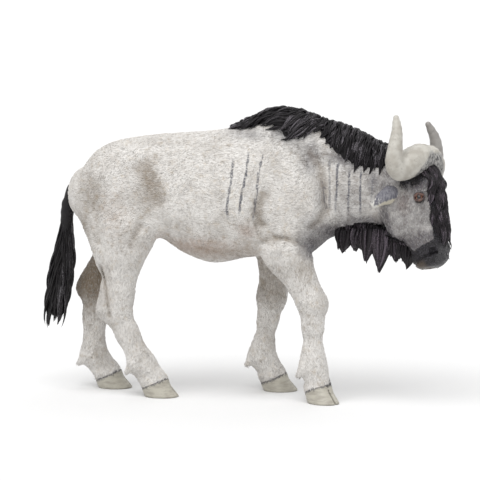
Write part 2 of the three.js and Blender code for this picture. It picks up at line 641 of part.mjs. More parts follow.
// Horns: a knuckled boss over the brow, and a hook to each side that dips, rises and closes in
const hornPath = [
  [3.8, 4.6, 2], [5.2, 4.4, 6], [7, 2.2, hornSpan / 2 - 3.2], [5.2, 2, hornSpan / 2 - 0.6],
  [0.8, 3.3, hornSpan / 2], [-3.4, 4.1, hornSpan / 2 - 0.9], [6 - hornRise, 3.6, hornSpan / 2 - 2.8],
];
const hornGirth = [3.9, 3.6, 3.2, 2.6, 1.95, 1.45, 0.7];
const bossBars = [
  { a: [3.6, 5.6, 2.4], ra: 3.9, b: [5, 4.6, 6.4], rb: 3.7, flat: 1 },
  { a: [3.4, 2.2, 1.8], ra: 3.3, b: [4.4, 2, 5], rb: 3, flat: 1 },
];
const hornCurve = new THREE.CatmullRomCurve3(hornPath.map((point) => vec(...point)));
const hornSteps = 10;
const hornBars = Array.from({ length: hornSteps }, (_, i) => {
  const [a, b] = [i, i + 1].map((n) => hornCurve.getPoint(n / hornSteps).toArray());
  const [ra, rb] = [i, i + 1].map((n) => {
    const s = (n / hornSteps) * (hornGirth.length - 1);
    const k = Math.min(Math.floor(s), hornGirth.length - 2);
    return lerp(hornGirth[k], hornGirth[k + 1], s - k);
  });
  return { a, ra, b, rb, flat: 1 };
});
function crownDistance(p) {
  const [down, out, left] = headSpace(p);
  const at = [down, out, Math.abs(left)];
  let d = soft(barDistance(at, bossBars[0]), barDistance(at, bossBars[1]), 2);
  for (const piece of hornBars) d = soft(d, barDistance(at, piece), 0.6);
  return d;
}
const hornJoin = (side) => [onHead(4, 2, side * 8).toArray(),
  headLeft.clone().multiplyScalar(side).addScaledVector(downFace, 0.25).toArray()];
const crown = solidOf(skinOf(crownDistance, [30, -22, 52], [66, 16, 92], 1.6))
  .subtract(fleshKept([28, -22, 48], [68, 16, 88], 1.9));
place("horn_right", largest(crown.intersect(beyond(...hornJoin(-1)))), "horn");
place("horn_left", largest(crown.intersect(beyond(...hornJoin(1)))), "horn");
place("horn_boss", largest([-1, 1].map(hornJoin)
  .reduce((rest, [at, normal]) => rest.intersect(beyond(at, flip(normal))), crown)), "horn");

// Ears: drooping leaves, hollow in front
const earPath = [[13.2, -0.6, 5.8], [13.1, -2.2, 8.6], [14.1, -4.8, 10.4], [16, -7.8, 11.2]];
const earWidth = [2, 2.9, 2.9, 0.7];
for (const [name, side] of [["right", -1], ["left", 1]]) {
  const curve = new THREE.CatmullRomCurve3(earPath.map(([down, out, at]) => onHead(down, out, side * at)));
  const hollow = downFace.clone().addScaledVector(outOfFace, 0.8).normalize();
  const rings = Array.from({ length: 7 }, (_, i) => {
    const t = i / 6;
    const s = Math.min(t * 3, 2.999);
    const n = Math.floor(s);
    const w = lerp(earWidth[n], earWidth[n + 1], s - n);
    const along = curve.getTangentAt(t);
    const across = along.clone().cross(hollow).normalize();
    const back = across.clone().cross(along).normalize();
    const arc = (angle, r) => curve.getPointAt(t).addScaledVector(across, r * Math.sin(angle))
      .addScaledVector(back, r * (0.6 - Math.cos(angle)));
    const outer = [-1.5, -0.75, 0, 0.75, 1.5].map((angle) => arc(angle, w));
    const inner = [1.35, 0.5, -0.5, -1.35].map((angle) => arc(angle, w * 0.62));
    return [...outer, ...inner];
  });
  place("ear_" + name, largest(loft(rings).subtract(fleshKept([30, -20, 46], [66, 14, 84], 1.9))), "coat");
}

// Eyes, each between lids in a socket in the head
let headSolid = headSkin;
for (const [name, side] of [["right", -1], ["left", 1]]) {
  const seat = onHead(eyeSeat[0], eyeSeat[1], side * eyeSeat[2]);
  const look = headLeft.clone().multiplyScalar(side).addScaledVector(outOfFace, 0.35).normalize();
  const turn = new THREE.Quaternion().setFromUnitVectors(vec(0, 0, 1), look);
  const lids = new THREE.TorusGeometry(eyeRadius + 0.15, 0.5, 6, 14).scale(1.15, 0.95, 1).applyQuaternion(turn)
    .translate(...seat.clone().addScaledVector(look, 0.35).toArray());
  const ball = (radius) => solidOf(closedGeometry(new THREE.SphereGeometry(radius, 12, 8)
    .rotateX(Math.PI / 2).applyQuaternion(turn).translate(seat.x, seat.y, seat.z)));
  headSolid = headSolid.add(solidOf(closedGeometry(lids))).subtract(ball(eyeRadius + gap));
  place("eye_" + name, ball(eyeRadius), "eye");
}
place("head", largest(headSolid), "coat");

// The frame's origin lies under the middle of the figure, on the floor
const box = new THREE.Box3().setFromObject(figure);
const middle = box.getCenter(vec(0, 0, 0));
for (const mesh of figure.children) mesh.geometry.translate(-middle.x, -middle.y, -box.min.z);

export default figure;
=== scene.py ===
# The moulded toy wildebeest: painted skin, fur and hair, horns, ears, eyes, hooves, floor, light and camera
import bpy
import math
import numpy as np
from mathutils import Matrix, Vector


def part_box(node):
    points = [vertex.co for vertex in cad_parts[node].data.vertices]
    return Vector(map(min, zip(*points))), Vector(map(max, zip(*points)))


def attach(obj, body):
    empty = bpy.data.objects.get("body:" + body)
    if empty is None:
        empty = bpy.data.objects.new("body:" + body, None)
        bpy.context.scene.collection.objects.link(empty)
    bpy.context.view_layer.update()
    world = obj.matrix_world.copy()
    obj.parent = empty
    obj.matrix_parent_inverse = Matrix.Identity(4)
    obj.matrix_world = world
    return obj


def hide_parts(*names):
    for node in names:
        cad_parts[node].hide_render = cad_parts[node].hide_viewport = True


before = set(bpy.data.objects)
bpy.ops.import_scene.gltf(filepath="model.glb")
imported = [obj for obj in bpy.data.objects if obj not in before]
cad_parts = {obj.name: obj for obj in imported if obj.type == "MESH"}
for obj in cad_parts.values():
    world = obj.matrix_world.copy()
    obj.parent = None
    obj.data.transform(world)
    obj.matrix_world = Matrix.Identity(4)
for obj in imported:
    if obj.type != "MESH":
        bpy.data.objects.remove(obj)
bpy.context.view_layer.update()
mm = 0.001
print("frame loaded")

# Sizes are in millimetres in the figure's drawing frame. The head is turned, tilted and rolled.
headPose = {"yaw": -17.7, "pitch": 75, "roll": -9.6, "poll": (46.8, -2.1, 72.6)}
eyeSeat = (15.4, 4.7, 5.7)  # down the face, out of it and to the side


def turned(vector, axis, angle):
    vector, axis = np.array(vector, float), np.array(axis, float)
    return (vector * math.cos(angle) + np.cross(axis, vector) * math.sin(angle)
            + axis * (axis @ vector) * (1 - math.cos(angle)))


yaw, pitch, roll = (math.radians(headPose[key]) for key in ("yaw", "pitch", "roll"))
ahead = np.array([math.cos(yaw), math.sin(yaw), 0])
level = np.array([-math.sin(yaw), math.cos(yaw), 0])
upward = np.array([0, 0, 1.0])
outOfFace = ahead * math.sin(pitch) + upward * math.cos(pitch)
downFace = turned(ahead * math.cos(pitch) - upward * math.sin(pitch), outOfFace, roll)
headLeft = turned(level, outOfFace, roll)
poll = np.array(headPose["poll"])
headAxes = np.array([downFace, outOfFace, headLeft])


def onHead(down, out, left):
    return poll + downFace * down + outOfFace * out + headLeft * left


# The frame's origin in the drawing frame, from where the right eye is
eyeBox = np.array(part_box("eye_right")) / mm
drawingShift = onHead(eyeSeat[0], eyeSeat[1], -eyeSeat[2]) - eyeBox.mean(axis=0)

# Trunk and neck: x, underside, topline, half width, sideways, egg
trunk = np.array([
    [-47, 51.9, 65.3, 6.6, 0, 0],
    [-42.5, 48.4, 70.9, 9.3, 0, -0.1],
    [-36, 48.8, 74, 11.2, 0, -0.05],
    [-27, 47.6, 75.6, 12, 0, 0.02],
    [-18, 41.8, 76.4, 13, 0, 0.1],
    [-9, 38.9, 77.2, 13.6, 0, 0.14],
    [1, 40.6, 79, 13.2, 0, 0.14],
    [9, 41.2, 81, 11.8, 0, 0.16],
    [16, 40.2, 81.6, 10.2, 0, 0.2],
    [20.5, 43, 80.9, 9, 0, 0.2],
    [25, 46.6, 78.6, 8, -0.1, 0.16],
    [32, 48.6, 75.4, 7.2, -0.8, 0.12],
    [40, 50.5, 71.8, 6.6, -1.8, 0.08],
])
trunkEnd = 4.2

# Head: distance from the poll, back, face side, half width, sideways, egg
headSections = np.array([
    [3.6, -6.6, 6.6, 5.8, 0, 0],
    [7, -8, 8.2, 6.7, 0, 0],
    [11, -8.7, 9.2, 7.1, 0, 0.05],
    [15, -8.8, 9.6, 6.8, 0, 0.1],
    [19.5, -8.1, 9.3, 5.9, 0, 0.1],
    [24.5, -5.6, 9.2, 5, 0, 0],
    [29, -3, 8, 4.9, 0, -0.05],
    [32.2, -2.7, 6.8, 5.2, 0, -0.05],
])
headEnd = 2.6
headBars = [
    ((11.4, 6.4, 4.4), 1.7, (13.6, 4.4, 5.7), 1.3, 1.6),  # brow
    ((14.5, -3.4, 4.3), 4, (22, -3.2, 3.2), 3.1, 3),  # cheek
    ((16.5, -5.6, 3.4), 3, (22.5, -5.2, 2.7), 2.5, 2),  # jaw
    ((29.8, 5.3, 3.3), 2, (31.6, 4.7, 3.5), 1.8, 1.2),  # nostril wing
]

legJoints = {
    "hind_right": {"hip": (-37, -5.5, 62), "stifle": (-33.5, -7.6, 49), "hock": (-37, -7, 25.5),
                   "fetlock": (-29.3, -6.8, 9.6), "coronet": (-25, -6.8, 4.4), "toeYaw": -4},
    "hind_left": {"hip": (-38, 5.5, 62), "stifle": (-35.5, 7.4, 49), "hock": (-46, 6.4, 30),
                  "fetlock": (-46.4, 6, 9.6), "coronet": (-41.6, 6, 4.4), "toeYaw": 4},
    "front_right": {"shoulder": (17.5, -7.2, 56), "elbow": (13.4, -7.8, 43.5), "knee": (21.2, -8.8, 28.4),
                    "fetlock": (21.4, -9, 10.4), "coronet": (23.2, -9.2, 4.6), "toeYaw": -34},
    "front_left": {"shoulder": (15.5, 7.2, 56), "elbow": (9, 7.8, 42.5), "knee": (6.3, 8.8, 27.4),
                   "fetlock": (3.4, 9, 10.2), "coronet": (7.4, 9, 4.4), "toeYaw": 6},
}
legGirth = {"hip": 10, "buttock": 7.4, "breech": 5.8, "stifle": 8.2, "gaskin": 4.4, "hock": 4.2,
            "heelBone": 1.9, "shoulder": 6.2, "elbow": 6.4, "knee": 3.9,
            "cannon": 3.0, "frontCannon": 2.7, "fetlock": 3.5, "pastern": 3.5}
legFlat = 0.8
hoofSize = {"length": 10, "width": 8, "height": 5.2, "slope": 0.62, "round": 0.8}


def soft(a, b, k):
    h = np.maximum(k - np.abs(a - b), 0)
    return np.minimum(a, b) - h * h / (4 * k)


def barDistance(p, a, ra, b, rb, flat=1.0):
    squeeze = np.array([1, 1 / flat, 1])
    q = (p - np.array(a)) * squeeze
    d = (np.array(b) - np.array(a)) * squeeze
    t = np.clip(q @ d / (d @ d), 0, 1)
    return (np.linalg.norm(q - t[:, None] * d, axis=1) - (ra + (rb - ra) * t)) * min(1, flat)


def sectionAt(rows, s):
    last = len(rows) - 1
    i = np.clip(np.searchsorted(rows[:, 0], s, side="right") - 1, 0, last - 1)
    start, end = rows[i], rows[i + 1]
    before, after = rows[np.maximum(i - 1, 0)], rows[np.minimum(i + 2, last)]
    span = (end[:, 0] - start[:, 0])[:, None]
    t = np.clip((s - start[:, 0])[:, None] / span, 0, 1)
    slopeIn = (end - before) / (end[:, :1] - before[:, :1]) * span
    slopeOut = (after - start) / (after[:, :1] - start[:, :1]) * span
    t2, t3 = t * t, t * t * t
    return (start * (2 * t3 - 3 * t2 + 1) + slopeIn * (t3 - 2 * t2 + t)
            + end * (3 * t2 - 2 * t3) + slopeOut * (t3 - t2))


def sectionDistance(rows, end, s, h, w):
    held = np.clip(s, rows[0, 0], rows[-1, 0])
    _, low, high, halfWidth, sideways, egg = sectionAt(rows, held).T
    half = (high - low) / 2
    up = (h - (high + low) / 2) / half
    wide = halfWidth * (1 - egg * np.clip(up, -1, 1))
    across = (w - sideways) / wide
    reach = np.hypot(up, across)
    steep = np.maximum(np.hypot(up / half, across / wide), 1e-9)
    side = reach * (reach - 1) / steep + end
    past = np.abs(s - held)
    return np.hypot(np.maximum(side, 0), past) + np.minimum(side, 0) * np.maximum(1 - past / end, 0) - end


def headSpace(p):
    return (p - poll) @ headAxes.T


def headDistance(p):
    at = headSpace(p)
    d = sectionDistance(headSections, headEnd, at[:, 0], at[:, 1], at[:, 2])
    at[:, 2] = np.abs(at[:, 2])
    for a, ra, b, rb, k in headBars:
        d = soft(d, barDistance(at, a, ra, b, rb), k)
    return d


def unit(v):
    return v / (np.linalg.norm(v, axis=-1, keepdims=True) + 1e-9)


def joined(distances, k):
    d = distances[0]
    for one in distances[1:]:
        d = soft(d, one, k)
    return d


def shifted(p, x, y, z):
    return (p[0] + x, p[1] + y, p[2] + z)


def between(p, q, t):
    return tuple(a + (b - a) * t for a, b in zip(p, q))


def legBars(name, j):
    g = legGirth
    if name.startswith("hind"):
        aboveHock = between(j["stifle"], j["hock"], 0.82)
        midCannon = between(j["hock"], j["fetlock"], 0.45)
        side = math.copysign(1, j["hip"][1])
        bars = [
            (j["hip"], g["hip"], j["stifle"], g["stifle"], 0.72, 5),
            ((-42.2, side * 5, 57), g["buttock"], (-37.6, side * 6.4, 42.5), g["breech"], 0.75, 3),
            (j["stifle"], g["stifle"] - 1.2, aboveHock, g["gaskin"], legFlat, 4),
            (aboveHock, g["gaskin"], j["hock"], g["hock"], legFlat, 2),
            (between(j["stifle"], j["hock"], 0.6), 2.6,
             shifted(j["hock"], -3.6, 0, -0.6), g["heelBone"], legFlat, 2),
            (j["hock"], g["hock"], midCannon, g["cannon"], legFlat, 2),
            (midCannon, g["cannon"], j["fetlock"], g["fetlock"], legFlat, 2),
        ]
    else:
        belowKnee = between(j["knee"], j["fetlock"], 0.35)
        aboveFetlock = between(j["knee"], j["fetlock"], 0.8)
        bars = [
            (shifted(j["shoulder"], -9, 2.5, 20), 3.6, j["shoulder"], g["shoulder"], 0.7, 4),
            (j["shoulder"], g["shoulder"], j["elbow"], g["elbow"], 0.7, 4),
            (j["elbow"], g["elbow"] - 0.6, j["knee"], g["knee"], legFlat, 3),
            (j["knee"], g["knee"], belowKnee, g["frontCannon"], legFlat, 2),
            (belowKnee, g["frontCannon"], aboveFetlock, g["frontCannon"], legFlat, 2),
            (aboveFetlock, g["frontCannon"], j["fetlock"], g["fetlock"], legFlat, 2),
        ]
    bars.append((j["fetlock"], g["fetlock"], j["coronet"], g["pastern"], legFlat, 2))
    for side in (-1, 1):
        bars.append((shifted(j["fetlock"], -2.2, side * 1.5, -0.4), 1.7,
                     shifted(j["fetlock"], -4.1, side * 1.7, -2.4), 0.8, 1, 1))
    return bars


def hoofSpace(p, j):
    toe = math.radians(j["toeYaw"])
    dx, dy = p[:, 0] - j["coronet"][0], p[:, 1] - j["coronet"][1]
    return dx * math.cos(toe) + dy * math.sin(toe), -dx * math.sin(toe) + dy * math.cos(toe)


def hoofDistance(p, j):
    along, across = hoofSpace(p, j)
    size = hoofSize
    rise = np.clip(p[:, 2] / size["height"], -0.4, 1.2)
    halfLength = size["length"] / 2 * (1 - 0.22 * rise)
    halfWidth = size["width"] / 2 * (1 - 0.16 * rise)
    lean = size["slope"] * size["height"] * (0.55 - rise)
    reach = np.hypot((along - lean) / halfLength, across / halfWidth)
    side = (reach - 1) * halfWidth * 0.85 + size["round"]
    past = np.maximum(p[:, 2] - size["height"] + size["round"], -2 - p[:, 2])
    return np.hypot(np.maximum(side, 0), np.maximum(past, 0)) + np.minimum(side, 0) - size["round"]


legForms = [(name, joints, legBars(name, joints)) for name, joints in legJoints.items()]
softness = {"hoof": 1, "leg": 4, "head": 3}
coronet = {"reach": 9, "slope": 0.42, "high": 3.9, "scale": 0.92}


def bodyDistance(p):
    d = sectionDistance(trunk, trunkEnd, p[:, 0], p[:, 2], p[:, 1])
    for _, joints, bars in legForms:
        leg = None
        for a, ra, b, rb, flat, k in bars:
            one = barDistance(p, a, ra, b, rb, flat)
            leg = one if leg is None else soft(leg, one, k)
        leg = soft(leg, hoofDistance(p, joints), softness["hoof"])
        d = soft(d, leg, softness["leg"])
    return soft(d, headDistance(p), softness["head"])


def coronetPlane(p):
    # Above zero below the coronet of the nearest hoof
    height = np.full(len(p), -50.0)
    for _, joints, _ in legForms:
        along, across = hoofSpace(p, joints)
        near = np.hypot(along, across) < coronet["reach"]
        below = coronet["slope"] * along - (p[:, 2] - coronet["high"])
        height = np.where(near, np.maximum(height, below), height)
    return height * coronet["scale"]


def slopeOf(distance, p, step=0.04):
    g = np.empty_like(p)
    for c in range(3):
        shift = np.zeros(3)
        shift[c] = step
        g[:, c] = (distance(p + shift) - distance(p - shift)) / (2 * step)
    return g


def fieldOn(distance, xs, ys, zs, step=4, reach=4.0):
    # A coarse pass finds where the skin may be, and only that part is worked out finely
    size = (len(xs), len(ys), len(zs))
    rough = [axis[::step] for axis in (xs, ys, zs)]
    grid = np.stack(np.meshgrid(*rough, indexing="ij"), -1).reshape(-1, 3)
    value = distance(grid).reshape([len(axis) for axis in rough])
    for c in range(3):
        value = np.repeat(value, step, axis=c)
    value = value[:size[0], :size[1], :size[2]].copy()
    i, j, k = np.nonzero(np.abs(value) < reach)
    value[i, j, k] = distance(np.stack([xs[i], ys[j], zs[k]], -1))
    return value


def spans(x, y, z, cell):
    return [np.arange(low, high, cell) for low, high in (x, y, z)]


def skinOf(distance, xs, ys, zs, settle=True):
    # The surface where the distance is zero, as points and four-sided faces
    value = fieldOn(distance, xs, ys, zs)
    for c in range(3):
        edge = [slice(None)] * 3
        for end in (0, -1):
            edge[c] = end
            value[tuple(edge)] = np.maximum(value[tuple(edge)], 0.1)
    inside = value < 0
    cells = np.array(value.shape) - 1
    total = np.zeros((*cells, 3))
    count = np.zeros(cells, int)
    axes = (xs, ys, zs)
    crossings = []
    for c in range(3):
        u, v = (c + 1) % 3, (c + 2) % 3
        low = [slice(None)] * 3
        high = [slice(None)] * 3
        low[c], high[c] = slice(0, -1), slice(1, None)
        low, high = tuple(low), tuple(high)
        found = np.array(np.nonzero(inside[low] != inside[high])).T
        d0 = value[low][tuple(found.T)]
        d1 = value[high][tuple(found.T)]
        point = np.stack([axes[n][found[:, n]] for n in range(3)], -1)
        point[:, c] += (axes[c][found[:, c] + 1] - axes[c][found[:, c]]) * d0 / (d0 - d1)
        keep = (found[:, u] > 0) & (found[:, v] > 0) & (found[:, u] < cells[u]) & (found[:, v] < cells[v])
        found, point, d0 = found[keep], point[keep], d0[keep]
        for a in (0, 1):
            for b in (0, 1):
                home = found.copy()
                home[:, u] -= a
                home[:, v] -= b
                np.add.at(total, tuple(home.T), point)
                np.add.at(count, tuple(home.T), 1)
        crossings.append((c, u, v, found, d0 < 0))
    used = np.nonzero(count)
    points = total[used] / count[used][:, None]
    number = np.full(cells, -1)
    number[used] = np.arange(len(points))
    faces = []
    for c, u, v, found, out in crossings:
        ring = []
        for a, b in ((0, 0), (1, 0), (1, 1), (0, 1)):
            home = found.copy()
            home[:, u] -= a
            home[:, v] -= b
            ring.append(number[tuple(home.T)])
        ring = np.stack(ring, -1)
        faces.append(np.where(out[:, None], ring, ring[:, ::-1]))
    if settle:
        limit = 0.45 * min(xs[1] - xs[0], ys[1] - ys[0], zs[1] - zs[0])
        start = points.copy()
        for _ in range(3):
            g = slopeOf(distance, points)
            move = -distance(points)[:, None] * g / np.maximum((g * g).sum(1), 1e-4)[:, None]
            points = start + np.clip(points + move - start, -limit, limit)
    return points, np.concatenate(faces)


def addPiece(name, mesh, smooth=True):
    mesh.name = name
    mesh.polygons.foreach_set("use_smooth", [smooth] * len(mesh.polygons))
    piece = bpy.data.objects.new(name, mesh)
    bpy.context.collection.objects.link(piece)
    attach(piece, "root")
    return piece


def meshPiece(name, points, faces):
    mesh = bpy.data.meshes.new(name)
    place = (np.asarray(points) - drawingShift) * mm
    mesh.from_pydata(place.tolist(), [], faces if isinstance(faces, list) else faces.tolist())
    mesh.update()
    mesh.validate()
    return addPiece(name, mesh)


def addFloat(piece, name, values):
    layer = piece.data.attributes.new(name, "FLOAT", "POINT")
    layer.data.foreach_set("value", np.asarray(values, np.float32))


def ease(value, start, end):
    t = np.clip((value - start) / (end - start), 0, 1)
    return t * t * (3 - 2 * t)


def lineDistance(p, path):
    # Distance from points to a bent line, and how far along it the nearest place is
    best = np.full(len(p), 1e9)
    along = np.zeros(len(p))
    path = np.array(path, float)
    lengths = np.linalg.norm(np.diff(path, axis=0), axis=1)
    total, gone = lengths.sum(), 0
    for a, b, length in zip(path, path[1:], lengths):
        t = np.clip((p - a) @ (b - a) / length ** 2, 0, 1)
        d = np.linalg.norm(p - a - t[:, None] * (b - a), axis=1)
        nearer = d < best
        best = np.where(nearer, d, best)
        along = np.where(nearer, (gone + t * length) / total, along)
        gone += length
    return best, along


# Skin: one moulded surface from tail root to muzzle, with the creases of the pose
creases = [  # (x, z) along the line, half width, depth
    ([(17.5, 75.1), (22.9, 67.8), (24.6, 61.1), (24.9, 56.2), (22.9, 52.3), (17.8, 49)], 1.5, 0.75),
    ([(-29.5, 70), (-25.5, 63), (-21.5, 55)], 3.2, 0.9),
    ([(4.6, 52.6), (5.6, 47.5)], 0.55, 0.35),
    ([(2.8, 53.4), (3.4, 48.2)], 0.5, 0.3),
    ([(1, 52.6), (1.2, 48.6)], 0.5, 0.22),
    ([(3.5, 45.2), (9, 47), (14, 47.8), (19, 46.4)], 0.9, 0.45),
    ([(8.5, 62), (6.2, 57), (6, 53), (7.8, 49.4)], 1.7, 0.85),
    ([(8, 48.8), (13, 47.6), (18.5, 45.4), (21, 42)], 0.8, 0.45),
    ([(-27.5, 52), (-30.5, 46.5), (-31.5, 42.5)], 1.2, 0.5),
    ([(-41.2, 40), (-39.4, 33), (-38.6, 27), (-37.4, 21.5)], 0.7, 0.75),
    ([(-38.2, 38.5), (-37.2, 34), (-37.6, 31)], 0.5, 0.4),
    ([(-35.5, 59), (-30.5, 53), (-28, 47.5)], 1.6, 0.35),
    ([(-33, 69.6), (-30.6, 71.4)], 0.4, 0.2),
    ([(-32.2, 68.6), (-29, 71)], 0.4, 0.2),
    ([(-42.4, 58), (-41, 50), (-41.8, 43)], 1.8, 0.5),
    ([(-34.6, 22.6), (-32.6, 16)], 0.6, 0.25),
    ([(20.2, 24.4), (20.3, 15)], 0.6, 0.2),
]
ridges = [
    ([(14.6, 74.6), (17.6, 66), (18.6, 59)], 2.4, 0.35),
    ([(-26, 52.6), (-22.4, 47.4)], 1.6, 0.4),
    ([(-43.6, 68.5), (-39.6, 63.5)], 2.6, 0.45),
    ([(-36.4, 37), (-36.2, 30)], 1.1, 0.4),
    ([(8.6, 43.6), (14, 44.6)], 1.2, 0.3),
]
ribRows = [(-14 + 3.7 * i, 67 - 0.3 * i, -15.4 + 3.7 * i, 49) for i in range(5)]
mouth = {"down": 32.4, "middle": 2.1, "front": 4.5, "half": 0.2}
nostril = {"down": 30.9, "out": 5.9, "side": 4.9, "radius": 1.0}
socketRadius = 1.5


def reliefAt(p):
    side = p[:, [0, 2]]
    flank = ease(np.abs(p[:, 1]), 2.5, 5)
    sunk = np.zeros(len(p))
    for path, wide, deep in creases:
        away, along = lineDistance(side, path)
        sunk += deep * np.exp(-(away / wide) ** 2) * ease(np.minimum(along, 1 - along), -0.001, 0.16)
    for path, wide, high in ridges:
        away, along = lineDistance(side, path)
        sunk -= high * np.exp(-(away / wide) ** 2) * ease(np.minimum(along, 1 - along), -0.001, 0.2)
    for x0, z0, x1, z1 in ribRows:
        away, along = lineDistance(side, [(x0, z0), (x1, z1)])
        sunk -= 0.16 * np.exp(-(away / 1.3) ** 2) * ease(np.minimum(along, 1 - along), 0, 0.3)
    return sunk * flank


def skinDistance(p):
    d = bodyDistance(p)
    near = np.abs(d) < 3
    q = p[near]
    e = d[near] + reliefAt(q)
    at = headSpace(q)
    at[:, 2] = np.abs(at[:, 2])
    pit = np.linalg.norm((at - [nostril["down"], nostril["out"], nostril["side"]]) / [1, 1.3, 1], axis=1)
    e = np.maximum(e, nostril["radius"] - pit)
    lips = np.abs(at[:, 0] - mouth["down"] + 0.25 * (at[:, 1] - mouth["middle"]))
    groove = mouth["half"] * 2 - lips
    inMouth = (at[:, 1] < mouth["middle"] + mouth["front"]) & (at[:, 0] > 29) & (at[:, 1] > -2.4)
    e = np.where(inMouth & (e > -0.7), np.maximum(e, np.minimum(groove, e + 0.55)), e)
    socket = np.linalg.norm(at - np.array(eyeSeat), axis=1)
    e = np.maximum(e, socketRadius - socket)
    d[near] = e
    return np.maximum(d, coronetPlane(p))


skinCells = {"trunk": 0.62, "head": 0.36, "across": 0.5, "up": 0.5}
skinPoints, skinFaces = skinOf(
    skinDistance,
    np.concatenate([np.arange(-58, 35.9, skinCells["trunk"]), np.arange(36, 70, skinCells["head"])]),
    np.arange(-22, 22.1, skinCells["across"]), np.arange(0, 86, skinCells["up"]))
skin = meshPiece("skin", skinPoints, skinFaces)
print("skin:", len(skinFaces) * 2, "triangles")


def resampled(rows, at, wanted):
    return np.stack([np.interp(wanted, at, rows[:, c]) for c in range(rows.shape[1])], -1)


def smoothCurve(points, count):
    # A Catmull-Rom curve with its points spread evenly along it
    points = np.array(points, float)
    ends = np.vstack([2 * points[0] - points[1], points, 2 * points[-1] - points[-2]])
    fine = []
    for i in range(len(points) - 1):
        a, b, c, d = ends[i:i + 4]
        for t in np.linspace(0, 1, 12, endpoint=False):
            fine.append(0.5 * (2 * b + (c - a) * t + (2 * a - 5 * b + 4 * c - d) * t ** 2
                               + (3 * b - a - 3 * c + d) * t ** 3))
    fine = np.vstack([fine, points[-1]])
    gone = np.concatenate([[0], np.cumsum(np.linalg.norm(np.diff(fine, axis=0), axis=1))])
    return resampled(fine, gone, np.linspace(0, gone[-1], count))


# Hooves: a horn shoe on each leg, cloven in front
hoof = {"proud": 0.1, "cell": 0.3, "cleft": 0.32, "reach": 8.4, "high": 8.6}


def hoofShoe(joints):
    def distance(p):
        d = bodyDistance(p) - hoof["proud"]
        d = np.maximum(d, -(coronetPlane(p) + 0.12))
        along, across = hoofSpace(p, joints)
        cleft = hoof["cleft"] * (0.5 + 0.5 * ease(p[:, 2], 5, 1)) - np.abs(across)
        cleft = np.minimum(cleft, along + 0.6 - 0.25 * p[:, 2])
        return np.maximum(np.maximum(d, cleft), -p[:, 2])

    x, y = ((c - hoof["reach"], c + hoof["reach"]) for c in joints["coronet"][:2])
    return skinOf(distance, *spans(x, y, (-0.9, hoof["high"]), hoof["cell"]), settle=False)


hoofPoints, hoofFaces = [], []
for _, joints, _ in legForms:
    points, faces = hoofShoe(joints)
    hoofFaces.append(faces + sum(len(each) for each in hoofPoints))
    hoofPoints.append(points)
hoofPoints = np.concatenate(hoofPoints)
hooves = meshPiece("hooves", hoofPoints, np.concatenate(hoofFaces))
print("hooves:", len(hooves.data.polygons) * 2, "triangles")

# Horns: a knuckled boss over the brow, and a hook to each side that dips, rises and closes in
horn = {"span": 26, "rise": 13.6, "cell": 0.34, "steps": 14}
hornOut = horn["span"] / 2
hornPath = [(3.8, 4.6, 2), (5.2, 4.4, 6), (7, 2.2, hornOut - 3.2), (5.2, 2, hornOut - 0.6),
            (0.8, 3.3, hornOut), (-3.4, 4.1, hornOut - 0.9), (6 - horn["rise"], 3.6, hornOut - 2.8)]
hornGirth = [3.9, 3.6, 3.2, 2.6, 1.95, 1.45, 0.85]
hornLine = smoothCurve([(*place, girth) for place, girth in zip(hornPath, hornGirth)], horn["steps"] + 1)


def crownDistance(p):
    at = headSpace(p)
    at[:, 2] = np.abs(at[:, 2])
    d = soft(barDistance(at, (3.6, 5.6, 2.4), 3.9, (5, 4.6, 6.4), 3.7),
             barDistance(at, (3.4, 2.2, 1.8), 3.3, (4.4, 2, 5), 3), 2)
    for a, b in zip(hornLine, hornLine[1:]):
        d = soft(d, barDistance(at, a[:3], a[3], b[:3], b[3]), 0.6)
    # Rough growth on the boss, and a few rings where the horn leaves it
    rough = np.sin(at[:, 0] * 2.3 + 1.5 * np.sin(at[:, 2] * 1.9)) * np.sin(at[:, 1] * 2.1 + at[:, 2] * 1.3)
    return d + 0.13 * rough * ease(at[:, 2], 9.5, 6)


hornPoints, hornFaces = skinOf(crownDistance, *spans((34, 62), (-19, 14), (58, 86), horn["cell"]))
horns = meshPiece("horns", hornPoints, hornFaces)
print("horns:", len(horns.data.polygons) * 2, "triangles")

# Ears: drooping leaves, hollow in front, with a thin rim
ear = {"path": [(12.6, 0.2, 4.6), (13.2, -0.6, 5.8), (13.1, -2.2, 8.6), (14.1, -4.8, 10.4),
                (15.6, -7.8, 11.1)],
       "width": [1.3, 1.8, 2.5, 2.6, 1.0], "rows": 22, "across": 17, "thick": 0.55}


def ringFaces(rows, ring):
    # Four-sided faces between closed rings of points
    faces = []
    for i in range(rows - 1):
        for k in range(ring):
            a, b = i * ring + k, i * ring + (k + 1) % ring
            faces.append((a, b, b + ring, a + ring))
    return faces


